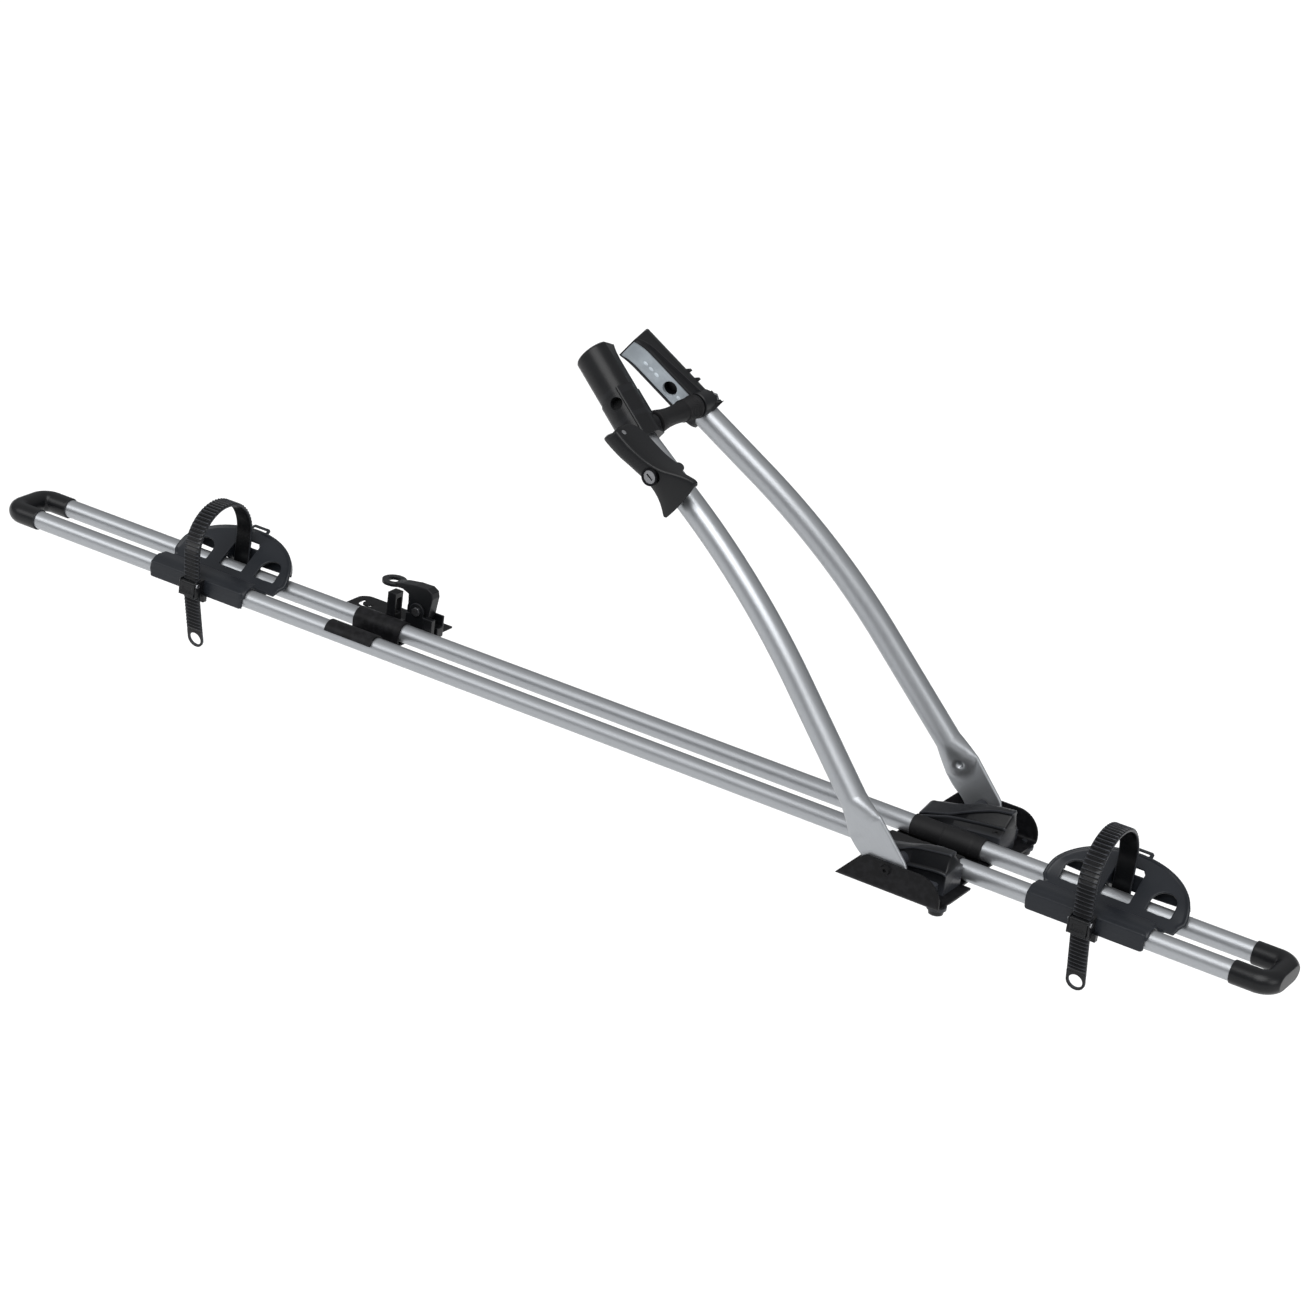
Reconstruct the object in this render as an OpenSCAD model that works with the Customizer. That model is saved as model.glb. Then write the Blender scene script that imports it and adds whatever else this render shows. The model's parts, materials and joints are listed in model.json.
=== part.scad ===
// Roof mounted bike carrier: two rails, a folding pair of arms with clamp claws, two sliding wheel trays.
// Millimetres, +X to the front, +Y to the left, +Z up.
// The origin is on the roof bar seat, straight under the arm pivots.

/* [Rails] */
// Length over both end caps
overall_l = 1490; // [1350:5:1650]
// Arm pivot to the front end
front_reach = 362; // [330:1:420]
// Rail tube diameter
rail_d = 19.5; // [18:0.1:21]
// Rail tube wall
rail_wall = 1.5; // [1:0.1:2.5]
// Spacing of the two rails
rail_pitch = 50; // [48:0.5:56]
// End cap length
cap_l = 45; // [40:1:60]
// End cap wall over the rail
cap_wall = 1.6; // [1.2:0.1:2.5]
// End cap bend radius on its centre line
cap_bend = 14; // [13:0.5:18]
// Depth of the flat on the end of the cap
cap_flat = 3; // [1:0.5:5]

/* [Front bracket] */
// Plate thickness of the bracket
plate_t = 2.2; // [1.6:0.1:3]
// Width over the bracket walls
bracket_w = 202; // [196:1:220]
// Pivot to the rear edge of the bracket
bracket_back = 51; // [46:1:60]
// Pivot to the front edge of the bracket
bracket_front = 58; // [52:1:66]
// Wall height
wall_h = 30; // [28:0.5:36]
// Radius of the wall's front shoulder
shoulder_r = 24; // [18:0.5:26]
// Pressing radius between plate and wall
press_r = 5; // [3.5:0.5:8]
// Pivot bolt height
pivot_h = 22.8; // [21:0.1:24]
// Pivot bolt diameter
pivot_d = 8; // [7:0.1:10]
// Bar bolt hole diameter
bar_hole_d = 8.5; // [6.5:0.1:10]
// Spacing of the two bar bolt holes
bar_hole_pitch = 64; // [50:1:80]
// Length of the rubber sleeve on each rail
sleeve_l = 76; // [60:1:84]
// Wall of the rubber sleeve
sleeve_wall = 2; // [1.6:0.1:2.6]
// Height of the clamp block's ridge
block_h = 44; // [41:0.5:48]
// Clamp block length
block_l = 95; // [86:1:98]

/* [Arms] */
// Arm tube diameter
arm_d = 25.6; // [24:0.1:28]
// Arm tube wall
arm_wall = 1.6; // [1.2:0.1:2.5]
// Width of the pressed foot
foot_w = 38; // [34:0.5:39]
// Thickness of the pressed foot
foot_t = 4.4; // [3.6:0.1:5]
// Pivot to the corner where the foot ends
foot_l = 43.8; // [42:0.1:52]
// Rise of the lower straight
low_rise = 47.6; // [44:0.1:52]
// Length of the lower straight
low_l = 144.4; // [120:0.1:170]
// Radius of the arm bend
arm_bend_r = 773; // [600:1:950]
// Rise of the upper straight
top_rise = 33.1; // [30:0.1:38]
// Length of the upper straight
top_l = 72.8; // [60:0.1:90]
// Inward lean of the arm
arm_toe = 7.4; // [6:0.1:9]
// Round tube starts this far above the foot
swage_l = 28; // [22:1:40]

/* [Claws] */
// Rise of the claws
claw_rise = 37; // [34:0.5:42]
// Inward lean of the claws
claw_toe = 11.3; // [8:0.1:14]
// Claw length past the arm's end
claw_l = 100; // [90:1:120]
// Claw outer radius
claw_r = 18.5; // [18:0.1:20]
// Reach of the claw sides past the claw's axis
claw_side = 14; // [12:0.5:17]
// Draw in of the claw sides at the tip
claw_taper = 7; // [4:0.5:8]
// Inward hook of the claw tip
claw_hook = 7; // [3:0.5:10]
// Length of the thicker base of the claw
base_l = 50; // [44:1:56]
// Extra radius of the base
base_more = 1.2; // [0.6:0.1:1.5]
// Tube length held inside the claw
socket_l = 24; // [22:0.5:30]
// Rubber pad thickness
pad_t = 4; // [3:0.1:5]
// Rim that stands round the pad
pad_rim = 2.6; // [1.8:0.1:3.5]
// Pad screw recess diameter
button_d = 11; // [8:0.1:12]
// Draw rod diameter
rod_d = 7; // [6:0.1:8]

/* [Clamp lever] */
// Pivot to the end of the lever
lever_l = 82; // [74:1:92]
// Claw axis to the lever pin
lever_off = 40; // [39:0.5:44]
// Lever width at its head
lever_w = 15; // [14:0.5:17]
// Lever width at its tail
tail_w = 53; // [44:1:56]
// Barrel diameter on the lever pin
barrel_d = 12; // [11:0.1:12.5]
// Lever pin diameter
lever_pin_d = 5; // [4:0.1:6]
// Wall of the lever shell
lever_wall = 2.4; // [2:0.1:2.8]
// Pivot to the lock
lock_x = 47.8; // [44:0.5:52]
// Lock cylinder diameter
lock_d = 13; // [10:0.5:13.5]

/* [Wheel trays] */
// Front tray position from the pivot
front_tray_x = 173.5; // [165:0.5:185]
// Rear tray position from the pivot
rear_tray_x = -861; // [-880:1:-850]
// Tray sleeve length
tray_sleeve_l = 123; // [110:1:130]
// Tray cheek length
cheek_l = 146; // [140:1:156]
// Cheek height along its slope
cheek_h = 55; // [46:0.5:58]
// Slope of the cheek
cheek_slope = 33; // [28:0.5:38]
// Moulded wall of the tray
tray_wall = 2.4; // [2:0.1:3]
// Side window width
window_w = 25; // [20:0.5:28]
// Spacing of the side windows
window_pitch = 89; // [82:0.5:96]
// Strap width
strap_w = 18; // [14:0.5:20]
// Strap thickness under the ribs
strap_t = 2.4; // [1.8:0.1:2.6]
// Height of the strap ribs
rib_h = 0.8; // [0.4:0.1:1]
// Pitch of the strap ribs
rib_pitch = 3.6; // [3:0.1:5]
// Length of the strap tail under the buckle
tail_l = 62; // [45:1:80]

/* [Rear foot] */
// Rear foot position from the pivot
rear_foot_x = -665; // [-680:1:-650]
// Saddle length along the rails
saddle_l = 58; // [50:1:66]
// Saddle sheet thickness
saddle_t = 1.8; // [1.4:0.1:2.2]
// Plate thickness of the rear foot
rear_plate_t = 1.9; // [1.5:0.1:2]
// Rear plate length
rear_plate_l = 114; // [100:1:124]
// Rear plate hole diameter
rear_hole_d = 6.5; // [5:0.1:8]
// Spacing of the two rear plate holes
rear_hole_pitch = 40; // [34:1:46]
// Rear lever pivot height
rear_pivot_h = 27; // [25:0.5:30]
// Rear lever thickness
rear_lever_t = 13; // [10:0.5:15]

/* [Fits] */
// Radial clearance of a turning pin
pin_gap = 0.05; // [0.02:0.01:0.1]
// Clearance of sliding parts on the rails
slide_gap = 0.35; // [0.3:0.05:0.6]
// Clearance between still parts
seat_gap = 0.05; // [0.03:0.01:0.1]

/* [Hidden] */
$fn = 64;
rail_r = rail_d / 2;
rail_y = rail_pitch / 2;
rail_z = plate_t + seat_gap + rail_r;
rear_x = front_reach - overall_l;
cap_r = rail_r + cap_wall;
cap_leg = cap_l - cap_bend - cap_r + cap_flat;
cap_seat = cap_leg - 1;
wall_in = bracket_w / 2 - plate_t;
arm_r = arm_d / 2;
// foot plane, midway between the bracket wall and the clamp block
foot_side = 1.6;
// radial room of the foot bore, which lets the arm flex sideways
foot_gap = 0.1;
foot_y = wall_in - foot_side - foot_t / 2;
block_y = foot_y - foot_t / 2 - foot_side;
block_in = rail_y + rail_r + sleeve_wall + 0.8;
nut_x = bracket_front - 7.5;
nut_y = bracket_w / 2 - 13;
stud_r = 2.5;
nut_flange_r = 9.5;
nut_flange_t = 3;
nut_h = 8;
// the plate is joggled up over the nuts, so that they stay off the bar's seat
nut_step = 0.7;
nut_room = 0.8;
block_front = nut_x - stud_r - 0.5;
block_back = block_front - block_l;
sleeve_back = 1 - sleeve_l / 2;
// foot direction and the corner where the tube leaves it
foot_rise = 48.3;
corner = [-foot_l * cos(foot_rise), foot_y, pivot_h + foot_l * sin(foot_rise)];
bend_c = [low_l * cos(low_rise) + arm_bend_r * sin(low_rise), low_l * sin(low_rise) - arm_bend_r * cos(low_rise)];
bend_end = bend_c + arm_bend_r * [-sin(top_rise), cos(top_rise)];
arm_end = bend_end + top_l * [cos(top_rise), sin(top_rise)];
head = corner + [-arm_end[0] * cos(arm_toe), -arm_end[0] * sin(arm_toe), arm_end[1]];
// draw rod line, in the claw's own frame and then in space
rod_back = 14;
rod_up = 8;
rod_x = head[0] - rod_back * cos(claw_rise) + rod_up * sin(claw_rise);
rod_z = head[2] + rod_back * sin(claw_rise) + rod_up * cos(claw_rise);
rod_r = rod_d / 2;
boss_r = 9.5;
boss_in = head[1] - 17.5;
boss_out = head[1] + 11;
rod_head_r = rod_r + 3;
lever_y = head[1] + lever_off;
// room between the lever and what it closes round
lever_room = 0.8;
cam_y = lever_off - claw_r - base_more - lever_room;
lever_back_y = 10;
// room that lets the right claw slide and tilt on the rod
rod_room = 1.9;
base_end = -2;
pad_half = claw_r - claw_taper - pad_rim + 2;
base_start = base_end - base_l;
// tray section, measured from the rail axis height
sleeve_r = rail_r + slide_gap + 2.8;
cheek_base = 13.4;
cheek_foot_z = (rail_r + slide_gap + 0.6 - (rail_y - cheek_base) * sin(cheek_slope)) / cos(cheek_slope);
// the cheek's sheet runs on down its slope to the floor of the trough
cheek_down = 14;
cheek_shift = 5.5;
strap_shift = 1.4;
sleeve_start = -tray_sleeve_l / 2 + 1.5;
floor_y = cheek_base - cheek_down * cos(cheek_slope);
floor_z = cheek_foot_z - cheek_down * sin(cheek_slope);
strap_y = rail_y + sleeve_r + 3.4;
strap_far = rail_y + rail_r + 1.5;
strap_rise = 39;
strap_lean = 1.2;
strap_in = -4.4;
loop_r = (strap_y - strap_in + strap_far + strap_lean) / 2;
loop_y = strap_far + strap_lean - loop_r;
// inward lean of the two hanging tails
front_tail = 12;
rear_tail = 14;
buckle_cheek = 1.8;
buckle_room = 0.4;
buckle_w = strap_w + 2 * (buckle_cheek + buckle_room);
buckle_pin_r = 1.3;
lever_hub_r = 2.6;
buckle_pin_z = 5;
pin_lean = max(0, -strap_in) * (buckle_pin_z + lever_hub_r + 10) / (strap_rise + 10);
buckle_pin_y = -strap_y - strap_t - rib_h - lever_hub_r - buckle_room - pin_lean;
// rear foot
rear_pivot_ahead = 23;
rear_pivot_y = 60;
rear_pivot = [rear_foot_x + rear_pivot_ahead, rear_pivot_y, rear_pivot_h];
rear_pin_d = 6;
steel = [0.16, 0.16, 0.17];
black = [0.10, 0.10, 0.11];
slate = [0.20, 0.22, 0.25];
silver = [0.78, 0.80, 0.82];
rubber = [0.55, 0.60, 0.64];

// cylinder along +X
module along_x(r, l) {
  rotate([0, 90, 0])
    cylinder(r = r, h = l);
}

// cylinder along +Y
module along_y(r, l) {
  rotate([-90, 0, 0])
    cylinder(r = r, h = l);
}

// flat outline drawn in Y and Z, made l long in X
module yz(l) {
  rotate([90, 0, 90])
    linear_extrude(height = l)
      children();
}

// flat outline drawn in X and Z, made l wide about y
module xz(l, y = 0) {
  translate([0, y + l / 2, 0])
    rotate([90, 0, 0])
      linear_extrude(height = l)
        children();
}

// right hand copy of a left hand piece
module right() {
  mirror([0, 1, 0])
    children();
}

// rail tube between the two end caps
module rail(side) {
  start = rear_x + cap_l - cap_seat;
  length = overall_l - 2 * (cap_l - cap_seat);
  color(silver)
    translate([start, side * rail_y, rail_z])
      difference() {
        along_x(rail_r, length);
        translate([-1, 0, 0])
          along_x(rail_r - rail_wall, length + 2);
      }
}

module rail_right() {
  rail(-1);
}

module rail_left() {
  rail(1);
}

// U shaped cap, mouth at x = 0
module end_cap() {
  color(black)
    difference() {
      union() {
        for (side = [-1, 1]) {
          translate([0, side * rail_y, 0])
            along_x(cap_r, cap_leg);
        }
        translate([cap_leg, rail_y - cap_bend, 0])
          rotate_extrude(angle = 90)
            translate([cap_bend, 0])
              circle(r = cap_r);
        translate([cap_leg, cap_bend - rail_y, 0])
          rotate([0, 0, -90])
            rotate_extrude(angle = 90)
              translate([cap_bend, 0])
                circle(r = cap_r);
        translate([cap_leg + cap_bend, cap_bend - rail_y, 0])
          along_y(cap_r, rail_pitch - 2 * cap_bend);
      }
      for (side = [-1, 1]) {
        translate([-1, side * rail_y, 0])
          along_x(rail_r + seat_gap, cap_seat + 1.3);
      }
      translate([cap_l, -rail_pitch, -rail_pitch])
        cube([rail_pitch, 2 * rail_pitch, 2 * rail_pitch]);
    }
}

module end_cap_front() {
  translate([front_reach - cap_l, 0, rail_z])
    end_cap();
}

module end_cap_rear() {
  translate([rear_x + cap_l, 0, rail_z])
    mirror([1, 0, 0])
      end_cap();
}

// U outline with rounded lower corners
module channel(w, h, r) {
  translate([-w / 2, r])
    square([w, h - r]);
  translate([r - w / 2, 0])
    square([w - 2 * r, r + 0.01]);
  for (side = [-1, 1]) {
    translate([side * (w / 2 - r), r])
      circle(r = r);
  }
}

// pressed steel foot that carries rails and arms on the front roof bar
module front_bracket() {
  length = bracket_back + bracket_front;
  notch = 72;
  color(steel)
    difference() {
      intersection() {
        translate([-bracket_back, 0, 0])
          yz(length)
            difference() {
              channel(bracket_w, wall_h + 1, press_r);
              translate([0, plate_t])
                channel(bracket_w - 2 * plate_t, wall_h + 1, press_r - plate_t + 0.2);
            }
        xz(bracket_w + 2)
          difference() {
            polygon([[-bracket_back, -1], [-bracket_back, 2], [-bracket_back * 0.6, wall_h - 6],
              [-bracket_back * 0.43, wall_h], [bracket_front, wall_h], [bracket_front, -1]]);
            translate([bracket_front - shoulder_r, wall_h - shoulder_r])
              difference() {
                square([shoulder_r + 1, shoulder_r + 1]);
                circle(r = shoulder_r);
              }
          }
      }
      translate([bracket_front - 9, -notch / 2, -1])
        cube([20, notch, plate_t + 2]);
      translate([0, -bracket_w, pivot_h])
        along_y(pivot_d / 2 + seat_gap, 2 * bracket_w);
      for (end = [-1, 1]) {
        translate([end * bar_hole_pitch / 2, 0, -1])
          cylinder(d = bar_hole_d, h = plate_t + 2);
      }
      for (side = [-1, 1]) {
        translate([nut_x, side * nut_y, -1])
          cylinder(r = stud_r + 0.2, h = plate_t + 2);
      }
      for (side = [0, 1]) {
        mirror([0, side, 0])
          translate([nut_x - nut_flange_r - nut_room, nut_y - nut_flange_r - nut_room, -1])
            cube([bracket_front, bracket_w, nut_step + 1]);
      }
    }
}

// rubber sleeve between rail and clamp block, with a fatter front half
module rail_sleeve(side) {
  r = rail_r + sleeve_wall;
  color(black)
    difference() {
      translate([sleeve_back, side * rail_y, rail_z])
        difference() {
          union() {
            along_x(r - 0.5, sleeve_l);
            translate([sleeve_l * 0.45, 0, 0])
              along_x(r, sleeve_l * 0.4);
          }
          translate([-1, 0, 0])
            along_x(rail_r + seat_gap, sleeve_l + 2);
        }
      translate([sleeve_back - 1, -bracket_w, -rail_d])
        cube([sleeve_l + 2, 2 * bracket_w, rail_d + plate_t + seat_gap]);
    }
}

module rail_sleeve_right() {
  rail_sleeve(-1);
}

module rail_sleeve_left() {
  rail_sleeve(1);
}

// cross section of the clamp block's raised part, grown by g where its ribs stand proud
module block_section(g) {
  y0 = block_in - g;
  y1 = block_in + 35;
  polygon([[y0, plate_t + seat_gap], [y0, block_h * 0.38], [y0 + 16, block_h - 4 + g],
    [y0 + 22, block_h - 1 + g], [y0 + 28, block_h + g], [y1 - 3, block_h - 1.5 + g], [y1, block_h - 8],
    [y1, plate_t + seat_gap]]);
}

// side outline of the clamp block, round at the rear and rising to the front
module block_side() {
  r = 8;
  polygon([[block_back + r, 0], [block_back + r, 2 * r], [block_back + 2 * r, block_h * 0.57],
    [block_back + block_l * 0.43, block_h * 0.7], [block_back + block_l * 0.58, block_h * 0.86],
    [block_front - 6, block_h + 0.5], [block_front, block_h - 1], [block_front, 0]]);
  translate([block_back + r, r])
    circle(r = r);
  translate([block_back, 0])
    square([r + 1, r]);
}

// raised line on the block, a ring of radius r about (x, z)
module block_rib(x, z, r) {
  translate([x, z])
    difference() {
      circle(r = r + 1, $fn = 160);
      circle(r = r - 1, $fn = 160);
    }
}

// moulded block that clamps the rail sleeve, with a lower shelf and pivot boss beside the arm foot
module clamp_block() {
  shelf_y = block_in + 34;
  drop = 13;
  color(black)
    difference() {
      union() {
        intersection() {
          translate([block_back - 1, 0, 0])
            yz(block_l + 2)
              block_section(0);
          xz(2 * bracket_w)
            block_side();
        }
        intersection() {
          translate([block_back - 1, 0, 0])
            yz(block_l + 2)
              block_section(0.8);
          xz(2 * bracket_w)
            intersection() {
              block_side();
              union() {
                block_rib(block_back, 260, 242);
                block_rib(block_front, -45, block_h + 40);
              }
            }
        }
        intersection() {
          translate([block_back, shelf_y, plate_t + seat_gap])
            cube([block_l, block_y - shelf_y, block_h]);
          xz(2 * bracket_w)
            translate([0, -drop])
              block_side();
        }
        translate([0, shelf_y, pivot_h])
          along_y(pivot_d / 2 + 2.6, block_y - shelf_y);
      }
      translate([0, block_y - 22, pivot_h])
        along_y(pivot_d / 2 + seat_gap, 40);
      block_screw_place()
        translate([0, 0, -14])
          cylinder(r = 2 + seat_gap, h = 20);
    }
}

// frame of the screw in the block's sloped inner face
module block_screw_place() {
  face = [16, block_h * 0.62 - 4];
  lean = atan2(face[1], face[0]);
  k = 0.3;
  translate([block_front - 7, block_in + k * face[0], block_h * 0.38 + k * face[1]])
    rotate([lean, 0, 0])
      children();
}

module clamp_block_right() {
  right()
    clamp_block();
}

module clamp_block_left() {
  clamp_block();
}

module block_screw() {
  color(steel)
    block_screw_place() {
      translate([0, 0, -13.5])
        cylinder(r = 2, h = 14);
      difference() {
        translate([0, 0, 0.05])
          cylinder(r = 4.2, h = 2.4);
        translate([0, 0, 1.2])
          cylinder(r = 2.2, h = 2, $fn = 6);
      }
    }
}

module block_screw_right() {
  right()
    block_screw();
}

module block_screw_left() {
  block_screw();
}

// shoulder bolt through wall, foot and block
module pivot_bolt() {
  head_h = 2.6;
  color(steel) {
    translate([0, block_y - 21, pivot_h])
      along_y(pivot_d / 2, bracket_w / 2 - block_y + 21);
    translate([0, bracket_w / 2, pivot_h])
      rotate([-90, 0, 0])
        difference() {
          cylinder(r1 = pivot_d * 0.66, r2 = pivot_d * 0.5, h = head_h);
          translate([0, 0, head_h - 1.8])
            cylinder(r = pivot_d * 0.25, h = 3, $fn = 6);
        }
  }
}

module pivot_bolt_right() {
  right()
    pivot_bolt();
}

module pivot_bolt_left() {
  pivot_bolt();
}

// spacer that holds the foot off the wall
module pivot_washer() {
  color(black)
    translate([0, foot_y + foot_t / 2 + 0.45, pivot_h])
      difference() {
        along_y(pivot_d, foot_side - 0.45 - seat_gap);
        translate([0, -1, 0])
          along_y(pivot_d / 2 + seat_gap, foot_side + 2);
      }
}

module pivot_washer_right() {
  right()
    pivot_washer();
}

module pivot_washer_left() {
  pivot_washer();
}

// bar clamp nut under the front corner of the plate
module bar_nut() {
  color(black)
    translate([nut_x, nut_y, nut_step - seat_gap - nut_flange_t]) {
      cylinder(r = nut_flange_r, h = nut_flange_t);
      translate([0, 0, nut_flange_t - nut_h])
        cylinder(r1 = nut_flange_r - 2.5, r2 = nut_flange_r - 1.5, h = nut_h - nut_flange_t + 0.5);
      cylinder(r = stud_r, h = 2 * nut_flange_t + plate_t);
    }
}

module bar_nut_right() {
  right()
    bar_nut();
}

module bar_nut_left() {
  bar_nut();
}

// frame of the left foot, pivot at the origin and the tube towards -X
module foot_place() {
  translate([0, foot_y, pivot_h])
    rotate([0, foot_rise, 0])
      children();
}

// frame of the left arm tube, its plane leaned inwards
module arm_place() {
  translate(corner)
    rotate([0, 0, 180 + arm_toe])
      children();
}

// ring section of the arm tube, thinned by t on both sides
module tube_ring(t) {
  difference() {
    circle(r = arm_r - t);
    circle(r = arm_r - arm_wall + t);
  }
}

// bend and upper straight, the bend's thinner ends let into the straights
module arm_top() {
  let_in = 1;
  step = 0.03;
  more = let_in / arm_bend_r * 180 / PI;
  translate([bend_c[0], 0, bend_c[1]])
    rotate([90, 0, 0])
      rotate([0, 0, 90 + top_rise - more])
        rotate_extrude(angle = low_rise - top_rise + 2 * more)
          translate([arm_bend_r, 0])
            tube_ring(step);
  translate([bend_end[0], 0, bend_end[1]])
    rotate([0, 90 - top_rise, 0])
      linear_extrude(height = top_l + socket_l)
        tube_ring(0);
}

// lower straight, solid where it is pressed down to the foot
module arm_low() {
  difference() {
    rotate([0, -low_rise, 0])
      difference() {
        translate([-1, 0, 0])
          along_x(arm_r, low_l + 1);
        translate([swage_l + 2 * arm_wall, 0, 0])
          along_x(arm_r - arm_wall, low_l);
      }
    swage_cut(-1);
    swage_cut(1);
  }
}

// slanted cut on one side of the tube where it is pressed down to the foot
module swage_cut(side) {
  rotate([0, -low_rise, 0])
    translate([0, 0, -arm_d])
      linear_extrude(height = 2 * arm_d)
        polygon([[-4, side * foot_t / 2], [0, side * foot_t / 2], [swage_l, side * (arm_r + 0.3)],
          [swage_l, side * arm_d], [-4, side * arm_d]]);
}

// arm tube pressed flat at its foot, dimpled where the two meet and drilled for the draw rod
module arm() {
  dimple_x = -foot_l - 1;
  taper_l = swage_l * 0.7;
  color(silver)
    difference() {
      union() {
        arm_place() {
          arm_low();
          arm_top();
        }
        foot_place()
          xz(foot_t) {
            circle(d = foot_w);
            polygon([[0, -foot_w / 2], [-foot_l, -foot_w / 2], [-foot_l - taper_l, -arm_r + 3],
              [-foot_l - taper_l, arm_r - 3], [-foot_l, foot_w / 2], [0, foot_w / 2]]);
          }
      }
      foot_place() {
        translate([0, -foot_t, 0])
          along_y(pivot_d / 2 + foot_gap, 2 * foot_t);
        translate([dimple_x, -foot_t / 2 - 8.6, 0])
          sphere(r = 10);
        translate([dimple_x, -foot_t, 0])
          along_y(2.6, 2 * foot_t);
      }
      rod_place(0)
        cylinder(r = rod_head_r + 0.5, h = bracket_w);
    }
}

module arm_right() {
  right()
    arm();
}

module arm_left() {
  arm();
}

// frame of the left claw: tube end at the origin, mouth end towards -X, inside towards -Y
module claw_place() {
  translate(head)
    rotate([0, claw_rise, 0])
      rotate([0, 0, claw_toe])
        children();
}

// line of the draw rod, +Z towards the left
module rod_place(y) {
  translate([rod_x, y, rod_z])
    rotate([-90, 0, 0])
      children();
}

// plan of the claw inwards of its back, hooked at the tip, its inner edge lifted by d
module claw_plan(d) {
  hook_l = 20;
  r = (hook_l * hook_l + claw_hook * claw_hook) / (2 * claw_hook);
  edge = d - claw_side;
  translate([-claw_l, edge])
    square([claw_l + base_end, claw_side + claw_r + 5]);
  difference() {
    translate([-claw_l, edge - claw_hook])
      square([hook_l, claw_hook + 2]);
    translate([hook_l - claw_l, edge - r])
      circle(r = r, $fn = 160);
  }
}

// U section of the claw: round back and sides that draw in
module claw_section(r) {
  edge = -claw_side - claw_hook;
  circle(r = r);
  polygon([[0, -r], [0, r], [edge, r - claw_taper], [edge, claw_taper - r]]);
}

// claw with its thicker base and the flat topped housing of the draw rod
module claw() {
  flat_l = base_l + 8;
  intersection() {
    union() {
      translate([-claw_l, 0, 0])
        yz(claw_l)
          claw_section(claw_r);
      translate([base_start, 0, 0])
        yz(base_l)
          claw_section(claw_r + base_more);
      translate([base_end - flat_l, 0, 0])
        yz(flat_l)
          polygon([[claw_r * 0.79, claw_r * 0.48], [claw_r * 0.6, claw_r * 0.87],
            [claw_r * 0.16, claw_r + base_more - 0.4], [-claw_side, claw_r - 2.5], [-claw_side, 0], [0, 0]]);
    }
    translate([0, 0, -2 * claw_r])
      linear_extrude(height = 4 * claw_r)
        claw_plan(0);
  }
}

// claw body with tube socket, rod hole, pad pocket and screw recess
module claw_body(rod_hole) {
  difference() {
    union() {
      claw_place()
        claw();
      rod_place(boss_in)
        cylinder(r = boss_r, h = head[1] - boss_in);
      rod_place(head[1] - 1)
        cylinder(r = boss_r - 2.3, h = boss_out - head[1] + 1);
    }
    arm_place()
      translate([bend_end[0], 0, bend_end[1]])
        rotate([0, -top_rise, 0])
          along_x(arm_r + seat_gap, top_l + socket_l + seat_gap);
    rod_place(boss_in - 30)
      cylinder(r = rod_hole, h = boss_out - boss_in + 60);
    claw_place() {
      pad_pocket();
      button_place(claw_r - 8)
        cylinder(d = button_d, h = 20);
    }
  }
}

// everything inwards of the pad's back, between the rims
module pad_pocket() {
  w = 2 * (pad_half + seat_gap);
  end = base_start + 26 + seat_gap;
  translate([0, 0, -w / 2])
    linear_extrude(height = w)
      difference() {
        translate([-2 * claw_l, -3 * claw_r])
          square([2 * claw_l + end, 4 * claw_r]);
        claw_plan(pad_t + seat_gap);
      }
}

// frame of the pad screw, pointing outwards through the claw
module button_place(start) {
  translate([base_start + 6, start, 0])
    rotate([-90, 0, 0])
      children();
}

module claw_right() {
  color(black)
    right()
      claw_body(rod_r + rod_room);
}

// saw teeth along the back of the left claw
module claw_teeth(x, pitch, count) {
  h = 3.4;
  l = 5.6;
  for (i = [0 : count - 1]) {
    translate([x + i * pitch, 0, 0])
      rotate([-34, 0, 0])
        translate([0, 3, claw_r - 1])
          rotate([90, 0, 0])
            linear_extrude(height = 6)
              polygon([[0, 0], [l, 0], [l, h], [l - 1.6, h]]);
  }
}

module claw_left() {
  color(black)
    difference() {
      union() {
        claw_body(rod_r + seat_gap);
        claw_place() {
          claw_teeth(base_start + 1, 11.7, 2);
          claw_teeth(base_end - 18, 5.8, 3);
        }
      }
      rod_place(boss_out)
        cylinder(r = rod_head_r + 1, h = 40);
    }
}

// rubber liner in the claw, with a screw recess and a row of slots
module claw_pad() {
  w = 2 * pad_half;
  end = base_start + 26;
  slots = 4;
  color(rubber)
    claw_place()
      difference() {
        translate([0, 0, -w / 2])
          linear_extrude(height = w)
            difference() {
              intersection() {
                claw_plan(0.8);
                translate([-claw_l, -3 * claw_r])
                  square([claw_l + end, 4 * claw_r]);
              }
              claw_plan(pad_t);
            }
        button_place(-2 * claw_r)
          cylinder(d = button_d, h = 4 * claw_r);
        for (i = [0 : slots - 1]) {
          translate([base_start - 6 - i * 7, -claw_side - 5, -1.5])
            cube([4, 5 + 2.4, 3]);
        }
      }
}

module claw_pad_right() {
  right()
    claw_pad();
}

module claw_pad_left() {
  claw_pad();
}

// tie rod from the lever pin through both claws, with its head behind the left claw
module draw_rod() {
  head_h = 5;
  start = -lever_y;
  color(silver)
    rod_place(start) {
      cylinder(r = rod_r, h = lever_y + boss_out + head_h);
      translate([0, 0, lever_y + boss_out + seat_gap])
        cylinder(r = rod_head_r, h = head_h, $fn = 6);
    }
}

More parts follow.
